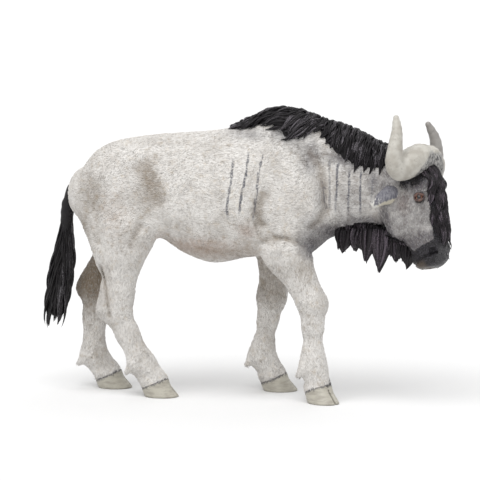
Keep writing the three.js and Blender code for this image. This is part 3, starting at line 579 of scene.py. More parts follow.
def leafPiece(name, side):
    rows = ear["rows"]
    line = smoothCurve([onHead(a, b, side * c) for a, b, c in ear["path"]], rows)
    along = unit(np.gradient(line, axis=0))
    hollow = -0.48 * outOfFace - headLeft * side * 0.88 - 0.12 * downFace
    across = unit(np.cross(along, hollow))
    back = np.cross(across, along)
    t = np.linspace(0, 1, rows)
    width = smoothCurve(np.array(ear["width"])[:, None], rows)[:, 0]
    sheets, values = [], {"reach": [], "low": [], "inner": []}
    for layer in (0, 1):
        for s in np.linspace(-1, 1, ear["across"])[::1 if layer == 0 else -1]:
            angle = 1.45 * s
            r = width * (1 - (ear["thick"] / 2.4) * layer * (1 - abs(s) ** 3))
            wave = 0.06 * np.sin(t * 19 + 3 * s) * abs(s)
            sheets.append(line + across * (r * np.sin(angle) + wave)[:, None]
                          + back * (r * (0.6 - math.cos(angle)))[:, None])
            for key, value in (("reach", t), ("low", -side * s), ("inner", float(layer))):
                values[key].append(value + np.zeros(rows))
    ring = len(sheets)
    faces = ringFaces(rows, ring)
    for i in (0, rows - 1):
        for k in range(ring // 2 - 1):
            quad = (i * ring + k, i * ring + k + 1, i * ring + ring - 2 - k, i * ring + ring - 1 - k)
            faces.append(quad if i else quad[::-1])
    faces = np.array(faces)[:, ::-1 if side > 0 else 1]
    piece = meshPiece(name, np.stack(sheets, 1).reshape(-1, 3), faces)
    for key, value in values.items():
        addFloat(piece, key, np.stack(value, 1).ravel())
    return piece


ears = {name: leafPiece("leaf_" + name, side) for name, side in (("right", -1), ("left", 1))}
print("ears made")

# Eyes: a ball with an iris and a wide dark pupil, between two heavy lids
eye = {"radius": 1.3, "lid": 0.36, "lidReach": 1.62, "open": 0.92, "corner": 1.36}


def ballPoints(radius, rows, ring):
    points = [(0, 0, radius)]
    for i in range(1, rows):
        a = math.pi * i / rows
        for b in np.linspace(0, 2 * math.pi, ring, endpoint=False):
            points.append((radius * math.sin(a) * math.cos(b), radius * math.sin(a) * math.sin(b),
                           radius * math.cos(a)))
    points.append((0, 0, -radius))
    last = len(points) - 1
    faces = [(1 + a, 1 + d, 1 + c, 1 + b) for a, b, c, d in ringFaces(rows - 1, ring)]
    for k in range(ring):
        faces += [(0, 1 + k, 1 + (k + 1) % ring), (last, last - 1 - k, last - 1 - (k + 1) % ring)]
    return np.array(points), faces


def eyeAxes(side):
    look = unit(headLeft * side + outOfFace * 0.35)
    down = unit(downFace - look * (downFace @ look))
    return onHead(eyeSeat[0], eyeSeat[1], side * eyeSeat[2]), look, down, np.cross(look, down)


def eyeBall(name, side):
    seat, look, down, front = eyeAxes(side)
    points, faces = ballPoints(eye["radius"], 24, 40)
    if np.cross(down, front) @ look < 0:
        faces = [face[::-1] for face in faces]
    place = seat + points[:, :1] * down + points[:, 1:2] * front + points[:, 2:] * look
    piece = meshPiece(name, place, faces)
    addFloat(piece, "off", np.hypot(points[:, 0], points[:, 1]) + (points[:, 2] < 0) * 3)
    return piece


def tubeAlong(path, radii, ring=10):
    path = np.array(path)
    along = unit(np.gradient(path, axis=0))
    normal = np.cross(along[0], (0.3, 0.5, 0.8))
    points = []
    for place, way, r in zip(path, along, radii):
        normal = unit(normal - way * (normal @ way))
        other = np.cross(way, normal)
        for a in np.linspace(0, 2 * math.pi, ring, endpoint=False):
            points.append(place + r * (math.cos(a) * normal + math.sin(a) * other))
    return points, ringFaces(len(path), ring)


def lidPiece(name, side):
    seat, look, down, front = eyeAxes(side)
    points, faces = [], []
    for half, lift, heavy in ((-1, 1.0, 1.15), (1, 0.92, 0.9)):
        path, radii = [], []
        for a in math.pi * np.linspace(0, 1, 19):
            along = -math.cos(a) * eye["corner"]
            up = half * math.sin(a) * eye["open"] * lift
            out = math.sqrt(max(eye["lidReach"] ** 2 - along ** 2 - up ** 2, 0.02))
            path.append(seat + front * along + down * up + look * (out - 0.22))
            radii.append(eye["lid"] * (0.55 + 0.6 * math.sin(a)) * heavy)
        start = len(points)
        tube, sides = tubeAlong(path, radii)
        points += tube
        faces += [tuple(n + start for n in face) for face in sides]
    return meshPiece(name, points, faces)


eyes = {name: eyeBall("ball_" + name, side) for name, side in (("right", -1), ("left", 1))}
lids = {name: lidPiece("lids_" + name, side) for name, side in (("right", -1), ("left", 1))}
print("eyes made")

# Paint and painted shade on the skin, as smooth values at its points; the material breaks their edges up.
# Soft patches are (x, z, reach along x, reach along z, amount), the same on both sides.
# Blue-grey: the coat's blue-grey paint, and painted shade on the chest, under the neck, in the shoulder groove
# and behind the ear
blueAndShadePatches = [
    (20.5, 71, 4, 7, 0.5), (23.4, 60.5, 2.4, 8, 0.42), (21.5, 51, 4, 5, 0.5), (21.5, 44.5, 4, 3.6, 0.7),
    (27, 47, 6, 4.2, 0.8), (15, 77.5, 8, 3.6, 0.6), (2, 77, 9, 2.6, 0.5), (32, 70, 7, 4, 0.6),
    (32, 56, 9, 14, 0.36), (-12, 76.6, 10, 1.6, 0.15), (19.5, 22, 2.4, 6, 0.18), (32, 51, 8, 2.6, 0.6),
    (39.5, 64, 4.5, 6, 0.6),
]
brownPatches = [
    (-25.4, 64, 3.6, 8, 0.48), (-27, 56, 4.5, 8, 0.36), (5.4, 56, 2.4, 5, 0.46), (-43, 60, 5, 9, 0.52),
    (-32.5, 47, 5, 7, 0.36), (-40.4, 33, 2.6, 8, 0.3), (-8, 43, 20, 3.6, 0.44), (18.5, 38, 4, 6, 0.4),
    (-30.5, 15, 2.4, 6, 0.25), (-46, 50, 4, 8, 0.55), (16, 47.5, 4, 2.2, 0.3), (-18, 74, 6, 3, 0.18),
    (9, 47.5, 5, 2.4, 0.4), (-38, 20, 4, 10, 0.22), (21, 20, 3, 8, 0.2), (-44, 12, 5, 9, 0.3),
    (5, 20, 4, 9, 0.25), (0, 40, 6, 6, 0.4), (8, 34, 5, 8, 0.4), (-6, 50, 15, 7, 0.22), (13, 38, 4, 5, 0.36),
]
pinkPatches = [
    (-12, 44, 15, 4, 0.66), (2.5, 49.5, 3.6, 3.4, 0.55), (-36, 54, 6, 9, 0.3), (47.5, 58.6, 2.6, 4, 0.6),
]
shadePatches = [
    (18.8, 47, 2.6, 3.2, 0.72), (21.4, 46, 3.4, 4.4, 0.85), (26.6, 48.8, 5.4, 4.2, 0.92),
    (33.5, 52.8, 8, 3, 0.56), (24.3, 57, 1.6, 8, 0.26), (20.6, 70, 3, 6, 0.42), (5.2, 55, 1.2, 4, 0.35),
    (0, 40.5, 5, 2.4, 0.3), (-33.5, 43, 3, 2.4, 0.2), (15, 77.4, 8, 2.6, 0.62), (28, 71, 6, 3, 0.62),
    (39.5, 63, 3.6, 7, 0.5), (33.5, 66.5, 7, 3, 0.4), (33, 60, 8, 8, 0.36), (17.5, 74, 5, 4, 0.46),
]
beardEdge = [(26.4, 47.4), (29.1, 49.6), (33, 51.4), (37, 52), (42.4, 50.6), (46.3, 47.6), (50.1, 45.2),
             (55, 42.4)]
stripes = [  # (x, z) from low to high, and how strong
    ([(-2.65, 53.5), (-2.94, 55.9), (-1.91, 63.5), (-1.59, 69.9)], 0.95),
    ([(0.59, 54.5), (1.47, 61.2), (2.36, 65.6), (2.65, 71.8)], 1),
    ([(4.27, 52.8), (5.44, 59.9), (5.89, 66.3), (6.77, 71.6)], 0.9),
    ([(25.1, 55.3), (23.84, 64.6)], 0.75),
    ([(25.95, 56.2), (25.6, 69.9)], 0.6),
    ([(27.6, 55.4), (28.1, 69.4)], 0.95),
    ([(31.2, 54.6), (31.5, 67.4)], 1),
    ([(34.64, 54.9), (34.8, 67.2)], 0.95),
    ([(37.6, 55.9), (38.3, 65.5)], 0.45),
]


def blob(a, b, centre, reach):
    return np.exp(-((a - centre[0]) / reach[0]) ** 2 - ((b - centre[1]) / reach[1]) ** 2)


def patchValue(p, patches):
    return np.maximum.reduce([amount * blob(p[:, 0], p[:, 2], (x, z), (rx, rz))
                              for x, z, rx, rz, amount in patches])


def stripeValues(p):
    # A phase that is whole on each stripe, the room between stripes, and how much of a stripe shows
    rows = []
    for path, strength in stripes:
        across, up = zip(*path)
        rows.append((np.interp(p[:, 2], up, across), up[0], up[-1], strength))
    rows = [(rows[0][0] - 4, 0, 1, 0)] + rows + [(rows[-1][0] + 4, 0, 1, 0)]
    places = np.stack([row[0] for row in rows], -1)
    index = np.clip((places <= p[:, :1]).sum(1) - 1, 0, len(rows) - 2)
    take = np.arange(len(p))
    room = places[take, index + 1] - places[take, index]
    share = np.clip((p[:, 0] - places[take, index]) / room, -0.4, 1.4)
    nearest = np.clip(np.round(index + share), 0, len(rows) - 1).astype(int)
    low, high, strength = (np.array([row[c] for row in rows])[nearest] for c in (1, 2, 3))
    show = strength * ease(p[:, 2], low - 1, low + 1.5) * ease(p[:, 2], high + 0.6, high - 1.2)
    return index + share, room, show * ease(np.abs(p[:, 1]), 2.2, 4)


def outwardOf(piece):
    normals = np.empty(len(piece.data.vertices) * 3, np.float32)
    piece.data.vertex_normals.foreach_get("vector", normals)
    return normals.reshape(-1, 3)


def paintSkin(piece, p):
    at = headSpace(p)
    down, out, side = at[:, 0], at[:, 1], np.abs(at[:, 2])
    x, z = p[:, 0], p[:, 2]
    onHeadPart = ease(down, -2, 1) * ease(out, -12, -9) * ease(x, 38, 42)
    elsewhere = 1 - onHeadPart
    # Black: the band down the face, the muzzle, by the eye and the throat
    band = ease(out - 6.9 + 0.06 * (down - 16), -0.7, 0.7) * ease(side, 5.4, 4.3) * ease(down, 4, 6)
    muzzle = ease(down - 27.6 - 0.32 * (6.4 - out), -1, 1)
    patch = blob(down, out, (10.4, 1.2), (2.6, 2.4)) * ease(side, 4.5, 6)
    browDark = blob(down, out, (9.4, 4.8), (3.6, 4.4)) * ease(side, 2.5, 4)
    byBand = ease(out, 3.9, 5.6) * ease(down, 17, 18.5) * ease(side, 6.2, 5.2)
    edge = np.interp(x, *zip(*beardEdge))
    throat = ease(edge - z, -1.4, 1.4) * ease(x, 25.4, 27) * ease(out + down * 0.1, 5.5, 4)
    black = np.maximum.reduce([band, muzzle, 0.66 * patch, 0.76 * browDark, 0.34 * byBand])
    # Blue-grey: paint over the eye, the jaw and above the beard, and painted shade at the back of the head
    # under the horns
    brow = blob(down, out, (9.8, 5.6), (5.2, 4.6)) * ease(side, 2.5, 4.2)
    jaw = blob(down, out, (26, 3), (3, 2.6))
    back = blob(down, out, (12, -5), (4, 4))
    byThroat = ease(edge + 5 - z, 0, 5) * ease(x, 25, 28) * ease(x, 54, 50)
    blue = np.maximum.reduce([brow, 0.45 * jaw, 0.75 * back, np.full(len(p), 0.3)]) * onHeadPart
    # Brown: painted shade under the belly and on the inner sides of the legs; under the belly the painted shade
    # is also pink
    normals = outwardOf(piece)
    downFacingShade = ease(normals[:, 2], -0.2, -0.8) * ease(z, 38, 41)
    innerLegShade = ease(np.sign(p[:, 1]) * normals[:, 1], 0.1, -0.5) * ease(z, 50, 44) * ease(z, 12, 34)
    innerLegShade = innerLegShade * elsewhere * (1 - 0.45 * ease(x, -25, -15)) * ease(x, 28, 24)
    # Shade: by the eye, the jaw's edge and the lower face
    byEye = blob(down, out, (11.5, 5.4), (5, 4)) * ease(side, 2.5, 4.2)
    jawEdge = ease(out + 0.16 * down, 2.2, -3.5) * ease(down, 13, 18)
    onFace = np.maximum.reduce([0.95 * byEye, 0.88 * jawEdge, 0.95 * ease(down, 20, 27.5),
                                0.75 * back * onHeadPart, np.full(len(p), 0.58)])
    phase, room, show = stripeValues(p)
    values = {
        "dark": np.maximum(black * onHeadPart, throat * (1 - 0.1 * onHeadPart)),
        "blue": np.maximum.reduce([blue, patchValue(p, blueAndShadePatches) * elsewhere, 0.6 * byThroat]),
        # Brown paint patches, plus painted shade under the belly and inside the legs; the belly's painted shade
        # also goes into pink
        "brown": np.maximum.reduce([patchValue(p, brownPatches) * elsewhere, 0.3 * downFacingShade, 0.95 * innerLegShade]),
        "pink": np.maximum(patchValue(p, pinkPatches), 0.35 * downFacingShade),
        "shade": (np.where(onHeadPart > 0.01, onFace * onHeadPart, 0)
                  + patchValue(p, shadePatches) * elsewhere),
        "chin": 0.6 * ease(down, 32.4, 34) * ease(out, 3.4, 1.8) * onHeadPart,
        "hollow": np.clip(reliefAt(p), -0.4, 1),
        "phase": phase, "room": room, "show": show,
        "coronet": np.clip(-coronetPlane(p), -3, 6),
        "leg": ease(z, 47, 38) * elsewhere * ease(x, 30, 26),
        "face": onHeadPart,
        "tuft": np.zeros(len(p)),
    }
    for name, value in values.items():
        addFloat(piece, name, value)


paintSkin(skin, skinPoints)
addFloat(hooves, "coronet", np.clip(-coronetPlane(hoofPoints), -6, 3))
print("paint laid out")


# Materials
def putNode(tree, kind, inputs=None, **settings):
    node = tree.nodes.new(kind)
    for key, value in settings.items():
        setattr(node, key, value)
    for key, value in (inputs or {}).items():
        socket = node.inputs[key]
        if isinstance(value, bpy.types.NodeSocket):
            tree.links.new(value, socket)
        else:
            socket.default_value = value
    return node


def addNode(tree, kind, inputs=None, **settings):
    return putNode(tree, "ShaderNode" + kind, inputs, **settings).outputs[0]


def tint(red, green, blue):
    return tuple((c / 255 / 12.92 if c <= 10 else ((c / 255 + 0.055) / 1.055) ** 2.4)
                 for c in (red, green, blue)) + (1,)


def mixed(tree, share, first, second):
    return addNode(tree, "MixRGB", {"Fac": share, "Color1": first, "Color2": second})


def sums(tree, operation, *terms):
    return addNode(tree, "Math", dict(enumerate(terms)), operation=operation)


def around0(tree, value, strength):
    # A noise with its middle moved to zero
    return sums(tree, "MULTIPLY", sums(tree, "SUBTRACT", value, 0.5), strength)


def between01(tree, value, start, end, most=1.0):
    return addNode(tree, "MapRange", {"Value": value, "From Min": start, "From Max": end, "To Max": most},
                   interpolation_type="SMOOTHSTEP")


def grain(tree, scale, stretch=(1, 1, 1), turn=(0, 0, 0), detail=3, roughness=0.5, distortion=0.0):
    # Noise on the object's own coordinates, in millimetres, drawn out along one direction
    place = putNode(tree, "ShaderNodeTexCoord").outputs["Object"]
    mapped = addNode(tree, "Mapping", {"Vector": place, "Rotation": turn,
                                       "Scale": tuple(1000 * s for s in stretch)})
    return addNode(tree, "TexNoise", {"Vector": mapped, "Scale": scale, "Detail": detail,
                                      "Roughness": roughness, "Distortion": distortion})


def attributeOf(tree, name):
    return putNode(tree, "ShaderNodeAttribute", attribute_name=name).outputs["Fac"]


def finishOf(name, roughness=0.5, coat=0.0, sheen=0.0, specular=0.5):
    material = bpy.data.materials.new(name)
    material.use_nodes = True
    tree = material.node_tree
    shader = tree.nodes["Principled BSDF"]
    shader.inputs["Roughness"].default_value = roughness
    shader.inputs["Specular IOR Level"].default_value = specular
    shader.inputs["Coat Weight"].default_value = coat
    shader.inputs["Sheen Weight"].default_value = sheen
    return material, tree, shader


def bumped(tree, shader, height, strength, distance):
    bump = addNode(tree, "Bump", {"Height": height, "Strength": strength, "Distance": distance * mm})
    tree.links.new(bump, shader.inputs["Normal"])


# The coat's paints; blue and brown also lay painted shade, and shade is painted shade
coatPaint = {
    "light": tint(223, 220, 216), "grey": tint(204, 200, 195), "cream": tint(206, 190, 165),
    "blue": tint(92, 93, 104), "brown": tint(118, 102, 82), "pink": tint(172, 148, 134),
    "stripe": tint(58, 62, 76), "dark": tint(17, 14, 17), "darkSheen": tint(82, 79, 87),
    "shade": tint(74, 70, 76),
    "furScale": 2.1, "furBump": 1.0,
}


def coatMaterial():
    look = coatPaint
    material, tree, shader = finishOf("painted coat", roughness=0.52, specular=0.4)
    trunkFur = grain(tree, look["furScale"], (0.5, 1.3, 1.3), (0, math.radians(28), 0), 2, 0.5, 0.9)
    legFur = grain(tree, look["furScale"] * 1.1, (1.4, 1.4, 0.5), (0, math.radians(8), 0), 2, 0.5, 0.8)
    faceFur = grain(tree, look["furScale"] * 1.2, (1.3, 1.3, 0.5), (0, math.radians(-14), 0), 2, 0.5, 0.8)
    fur = mixed(tree, attributeOf(tree, "leg"), trunkFur, legFur)
    fur = mixed(tree, attributeOf(tree, "face"), fur, faceFur)
    patchy = grain(tree, 0.11, detail=4, roughness=0.62)
    mottle = grain(tree, 0.55, detail=5, roughness=0.7)
    fine = grain(tree, 3.2, detail=3, roughness=0.6)
    colour = mixed(tree, between01(tree, patchy, 0.42, 0.66), look["light"], look["grey"])
    colour = mixed(tree, between01(tree, mottle, 0.5, 0.76, 0.5), colour, look["cream"])

    def laid(colour, amount, paint, strength, spread):
        # A wash of paint or of painted shade: its amount, broken by the mottle and by the lie of the fur
        broken = sums(tree, "MULTIPLY_ADD", sums(tree, "SUBTRACT", mottle, 0.5), spread, amount)
        return mixed(tree, between01(tree, broken, 0.05, 0.97, strength), colour, paint)

    # Pink and brown paint, which also lay painted shade under the belly and inside the legs; blue-grey paint
    # and painted shade; the wash in the hollows; painted shade
    for name, paint, strength, spread in (("pink", "pink", 0.9, 0.72), ("brown", "brown", 0.95, 0.72),
                                          ("blue", "blue", 0.95, 0.72), ("hollow", "brown", 0.55, 0.4),
                                          ("shade", "shade", 0.9, 0.8)):
        colour = laid(colour, attributeOf(tree, name), look[paint], strength, spread)
    # Fur strokes: the wash stays in their furrows and their backs are rubbed pale
    colour = mixed(tree, between01(tree, fur, 0.5, 0.32, 0.22), colour, look["brown"])
    colour = mixed(tree, between01(tree, fur, 0.54, 0.68, 0.3), colour, look["light"])
    colour = mixed(tree, sums(tree, "MULTIPLY", attributeOf(tree, "tuft"), 0.25), colour, look["light"])
    # Stripes, drawn by hand: their width wanders and the paint skips
    phase = attributeOf(tree, "phase")
    off = sums(tree, "ABSOLUTE", sums(tree, "SUBTRACT", phase, sums(tree, "ROUND", phase)))
    off = sums(tree, "MULTIPLY", off, attributeOf(tree, "room"))
    wander = around0(tree, grain(tree, 0.9, (1.5, 1.5, 0.5), detail=4), 1.1)
    line = between01(tree, sums(tree, "ADD", off, wander), 0.5, 0.12)
    line = sums(tree, "MULTIPLY", line, attributeOf(tree, "show"))
    line = sums(tree, "MULTIPLY", line, between01(tree, fine, 0.3, 0.52))
    colour = mixed(tree, sums(tree, "MULTIPLY", line, 0.85), colour, look["stripe"])
    # The ring where the hoof begins, and its specks above
    ring = sums(tree, "ADD", attributeOf(tree, "coronet"),
                around0(tree, mottle, 2.2))
    colour = mixed(tree, between01(tree, ring, 0.5, 0.1, 0.6), colour, look["stripe"])
    # Black paint on face, muzzle and throat
    inked = sums(tree, "ADD", attributeOf(tree, "dark"),
                 around0(tree, fur, 0.9))
    inked = between01(tree, inked, 0.36, 0.6)
    black = mixed(tree, between01(tree, fine, 0.5, 0.66, 0.75), look["dark"],
                  look["darkSheen"])
    black = mixed(tree, sums(tree, "MULTIPLY", attributeOf(tree, "chin"), 0.6), black, look["brown"])
    colour = mixed(tree, inked, colour, black)
    tree.links.new(colour, shader.inputs["Base Color"])
    rough = addNode(tree, "MapRange", {"Value": inked, "To Min": 0.55, "To Max": 0.36})
    tree.links.new(rough, shader.inputs["Roughness"])
    height = sums(tree, "ADD", fur, sums(tree, "MULTIPLY", fine, 0.2))
    bumped(tree, shader, height, look["furBump"], 0.5)
    return material


coat = coatMaterial()


def hornMaterial():
    material, tree, shader = finishOf("painted horn", roughness=0.42, specular=0.45)
    lines = grain(tree, 0.9, (1, 1, 1), detail=5, roughness=0.7, distortion=1.2)
    patchy = grain(tree, 0.35, detail=3)
    streaks = grain(tree, 1.8, (1.4, 1.4, 0.5), detail=4, roughness=0.7)
    boss, farHornShade = attributeOf(tree, "boss"), attributeOf(tree, "farHornShade")
    colour = mixed(tree, between01(tree, patchy, 0.36, 0.74), tint(188, 185, 177), tint(166, 161, 152))
    colour = mixed(tree, between01(tree, lines, 0.54, 0.68, 0.42), colour, tint(118, 112, 106))
    # Painted shade: the far horn is darker
    colour = mixed(tree, farHornShade, colour, tint(104, 100, 104))
    worn = mixed(tree, between01(tree, streaks, 0.36, 0.62), tint(44, 42, 46), tint(176, 174, 170))
    edge = sums(tree, "ADD", boss, around0(tree, streaks, 0.9))
    colour = mixed(tree, between01(tree, edge, 0.35, 0.75), colour, worn)
    tree.links.new(colour, shader.inputs["Base Color"])
    bumped(tree, shader, sums(tree, "ADD", lines, sums(tree, "MULTIPLY", streaks, boss)), 0.45, 0.3)
    return material


hornAt = headSpace(hornPoints)
bossShare = (ease(np.abs(hornAt[:, 2]), 7.5, 4.5) * ease(hornAt[:, 0], 3.6, 6.8)
             + 0.75 * ease(hornAt[:, 0], 5.6, 8.2) * ease(np.abs(hornAt[:, 2]), 9, 6.5)
             + 0.8 * ease(hornAt[:, 1], 6.5, 9) * ease(np.abs(hornAt[:, 2]), 6, 3)
             * ease(hornAt[:, 0], 0.5, 4))
addFloat(horns, "boss", np.clip(bossShare, 0, 1))
# Painted shade on the far horn, on the head's left side
addFloat(horns, "farHornShade", 0.5 * ease(hornAt[:, 2], 6, 10))


def hoofMaterial():
    material, tree, shader = finishOf("painted hoof", roughness=0.45)
    bands = grain(tree, 0.6, (0.5, 0.5, 2.2), detail=4, roughness=0.65)
    specks = grain(tree, 1.5, detail=4, roughness=0.7)
    high = attributeOf(tree, "coronet")
    colour = mixed(tree, between01(tree, bands, 0.4, 0.66), tint(178, 174, 162), tint(154, 149, 138))
    ring = sums(tree, "ADD", high, around0(tree, specks, 2.4))
    colour = mixed(tree, between01(tree, ring, -0.5, -0.05, 0.75), colour, tint(72, 70, 74))
    colour = mixed(tree, between01(tree, specks, 0.6, 0.72, 0.3), colour, tint(120, 112, 102))
    tree.links.new(colour, shader.inputs["Base Color"])
    bumped(tree, shader, sums(tree, "ADD", bands, sums(tree, "MULTIPLY", specks, 0.4)), 0.35, 0.25)
    return material


def eyeMaterial():
    material, tree, shader = finishOf("glossy eye", roughness=0.12, coat=0.8)
    off = attributeOf(tree, "off")
    flecks = grain(tree, 3, detail=3)
    iris = mixed(tree, between01(tree, flecks, 0.35, 0.65), tint(124, 66, 30), tint(70, 36, 18))
    colour = mixed(tree, between01(tree, off, 0.56, 0.64), tint(8, 6, 6), iris)
    colour = mixed(tree, between01(tree, off, 0.92, 1.05), colour, tint(40, 26, 22))
    tree.links.new(colour, shader.inputs["Base Color"])
    return material


def lidMaterial():
    material, tree, shader = finishOf("painted lids", roughness=0.5)
    mottle = grain(tree, 1.4, detail=4, roughness=0.7)
    colour = mixed(tree, between01(tree, mottle, 0.38, 0.62), tint(104, 76, 66), tint(46, 40, 42))
    tree.links.new(colour, shader.inputs["Base Color"])
    bumped(tree, shader, mottle, 0.4, 0.2)
    return material


def earMaterial():
    material, tree, shader = finishOf("painted ears", roughness=0.55, specular=0.4)
    fur = grain(tree, 1.6, (1.4, 1.4, 0.5), detail=4, roughness=0.7)
    low, reach, inner = (attributeOf(tree, name) for name in ("low", "reach", "inner"))
    # Grey-blue, which on the upper part is partly painted shade from the horn above; cream along the lower
    # edge, darker on the inner sheet and pale at the tip
    colour = mixed(tree, between01(tree, fur, 0.35, 0.65), tint(88, 88, 98), tint(132, 131, 136))
    stripe = sums(tree, "ADD", low, around0(tree, fur, 0.5))
    colour = mixed(tree, between01(tree, stripe, 0.3, 0.5), colour, tint(184, 178, 162))
    colour = mixed(tree, sums(tree, "MULTIPLY", inner, 0.8), colour, tint(70, 62, 60))
    pale = sums(tree, "ADD", reach, around0(tree, fur, 0.8))
    colour = mixed(tree, between01(tree, pale, 0.78, 0.95), colour, tint(206, 204, 198))
    tree.links.new(colour, shader.inputs["Base Color"])
    bumped(tree, shader, fur, 0.6, 0.35)
    return material


def hairMaterial(name, root, body, brush):
    # Near-black hair whose raised strands are dry-brushed grey
    material, tree, shader = finishOf(name, roughness=0.46, specular=0.3)
    tone, reach = attributeOf(tree, "tone"), attributeOf(tree, "reach")
    streaks = grain(tree, 2.2, (1.2, 1.2, 0.7), detail=3, roughness=0.7)
    specks = grain(tree, 5.5, detail=2, roughness=0.6)
    colour = mixed(tree, between01(tree, streaks, 0.35, 0.65), root, body)
    brushed = sums(tree, "ADD", sums(tree, "MULTIPLY", tone, 0.45), sums(tree, "MULTIPLY", specks, 0.8))
    colour = mixed(tree, between01(tree, brushed, 0.7, 0.86, 0.75), colour, brush)
    colour = mixed(tree, between01(tree, reach, 0.15, 0, 0.4), colour, root)
    tree.links.new(colour, shader.inputs["Base Color"])
    bumped(tree, shader, sums(tree, "ADD", streaks, specks), 0.5, 0.3)
    return material


maneHair = hairMaterial("mane hair", tint(8, 7, 9), tint(22, 17, 21), tint(116, 111, 117))
beardHair = hairMaterial("beard hair", tint(8, 7, 9), tint(33, 26, 31), tint(112, 102, 112))
tailHair = hairMaterial("tail hair", tint(9, 8, 9), tint(24, 20, 23), tint(122, 119, 123))
for piece, material in ((skin, coat), (horns, hornMaterial()), (hooves, hoofMaterial())):
    piece.data.materials.append(material)
earPaint, eyePaint, lidPaint = earMaterial(), eyeMaterial(), lidMaterial()
for name in ("right", "left"):
    ears[name].data.materials.append(earPaint)
    eyes[name].data.materials.append(eyePaint)
    lids[name].data.materials.append(lidPaint)
print("materials made")


# Hair: each lock is a bundle of strands that part at the root and meet in a point.
# Strands are laid as lines with values on their points; Geometry Nodes give them their flat bodies.
rng = np.random.default_rng(7)
noise = rng.uniform


# The chart for baked paint: where it starts along x, how long and how far round it is, and a strand's patch
chart = {"start": -60, "long": 134, "round": 2.04 * math.pi, "patch": 0.003}


def unrolled(p):
    # Where a place lies on the chart: the skin unrolled about the spine
    spine = np.interp(p[..., 0], trunk[:, 0], (trunk[:, 1] + trunk[:, 2]) / 2)
    turn = np.arctan2(p[..., 1], p[..., 2] - spine)
    return (p[..., 0] - chart["start"]) / chart["long"], 0.5 + turn / chart["round"]


def newHair():
    return {key: [] for key in ("points", "edges", "girth", "facing", "tone", "reach", "rootU", "rootV")}


def bundle(hair, path, outward, width, thick, count, girth=0.34, rootAt=unrolled, short=0.3, curl=0.25,
           tone=None, taper=1.7, point=2.6):
    # A lock along a path: strands spread over its width and depth and drawn together at its tip
    steps = len(path) * 2
    t = np.linspace(0, 1, steps)
    fine = smoothCurve(path, steps)
    along = unit(np.gradient(fine, axis=0))
    out = np.broadcast_to(np.array(outward, float), (len(path), 3))
    out = resampled(out, np.linspace(0, 1, len(path)), t)
    out = unit(out - along * (out * along).sum(1)[:, None])
    side = np.cross(along, out)
    base = noise(0, 1) if tone is None else tone
    for n in range(count):
        s = (n + 0.5) / count * 2 - 1 + noise(-0.2, 0.2)
        h = noise(0.1, 1) * (1 - 0.35 * s * s)
        reach = t * (1 - short * noise(0, 1) * (0.35 + abs(s)))
        gather = (1 - reach ** taper) * (0.72 + 0.28 * np.sin(math.pi * np.minimum(reach + 0.2, 1)))
        wave = curl * np.sin(reach * noise(4, 8) + noise(0, 6)) * reach * (1 - 0.5 * reach)
        centre, lateral, normal = (resampled(rows, t, reach) for rows in (fine, side, out))
        points = (centre + lateral * (s * width / 2 * gather + wave)[:, None]
                  + normal * (thick * (h - 0.35) * gather)[:, None])
        slim = girth * noise(0.75, 1.25) * np.clip(0.55 + 1.6 * t, 0, 1) * (1 - t ** point) + 0.05
        shine = np.clip(0.55 * base + 0.45 * noise(0, 1) + 0.25 * (h - 0.5), 0, 1)
        u, v = rootAt(points[0])
        first = sum(len(each) for each in hair["points"])
        hair["edges"] += [(first + i, first + i + 1) for i in range(steps - 1)]
        for key, value in (("points", points), ("girth", slim), ("facing", normal), ("reach", reach),
                           ("tone", np.full(steps, shine)), ("rootU", np.full(steps, u)),
                           ("rootV", np.full(steps, v))):
            hair[key].append(value)


def groupTree(name, inputs):
    tree = bpy.data.node_groups.new(name, "GeometryNodeTree")
    for key, kind in [("Geometry", "Geometry")] + inputs:
        tree.interface.new_socket(key, in_out="INPUT", socket_type="NodeSocket" + kind)
    tree.interface.new_socket("Geometry", in_out="OUTPUT", socket_type="NodeSocketGeometry")
    return tree


def named(tree, name, kind="FLOAT"):
    return putNode(tree, "GeometryNodeInputNamedAttribute", {"Name": name}, data_type=kind).outputs[0]


def closeTree(tree, given, geometry, shares):
    # Each strand or stroke gets a small patch of the chart at its root, then its paint
    whole = putNode(tree, "GeometryNodeRealizeInstances", {"Geometry": geometry})
    place = putNode(tree, "ShaderNodeCombineXYZ")
    for axis, root, share in zip("XY", ("rootU", "rootV"), shares):
        spread = sums(tree, "MULTIPLY_ADD", named(tree, share), given["Patch"], named(tree, root))
        tree.links.new(spread, place.inputs[axis])
    charted = putNode(tree, "GeometryNodeStoreNamedAttribute",
                      {"Geometry": whole.outputs[0], "Name": "OFBake", "Value": place.outputs[0]},
                      data_type="FLOAT2", domain="CORNER")
    dress = putNode(tree, "GeometryNodeSetMaterial",
                    {"Geometry": charted.outputs[0], "Material": given["Material"]})
    putNode(tree, "NodeGroupOutput", {"Geometry": dress.outputs[0]})
    return tree


def grownMesh(source, tree, values):
    # The plain mesh that a node group makes of an object
    modifier = source.modifiers.new(tree.name, "NODES")
    modifier.node_group = tree
    for item in tree.interface.items_tree:
        if item.item_type == "SOCKET" and item.in_out == "INPUT" and item.name in values:
            modifier[item.identifier] = values[item.name]
    source.update_tag()
    evaluated = source.evaluated_get(bpy.context.evaluated_depsgraph_get())
    mesh = bpy.data.meshes.new_from_object(evaluated)
    source.modifiers.clear()
    bpy.data.objects.remove(source)
    return mesh


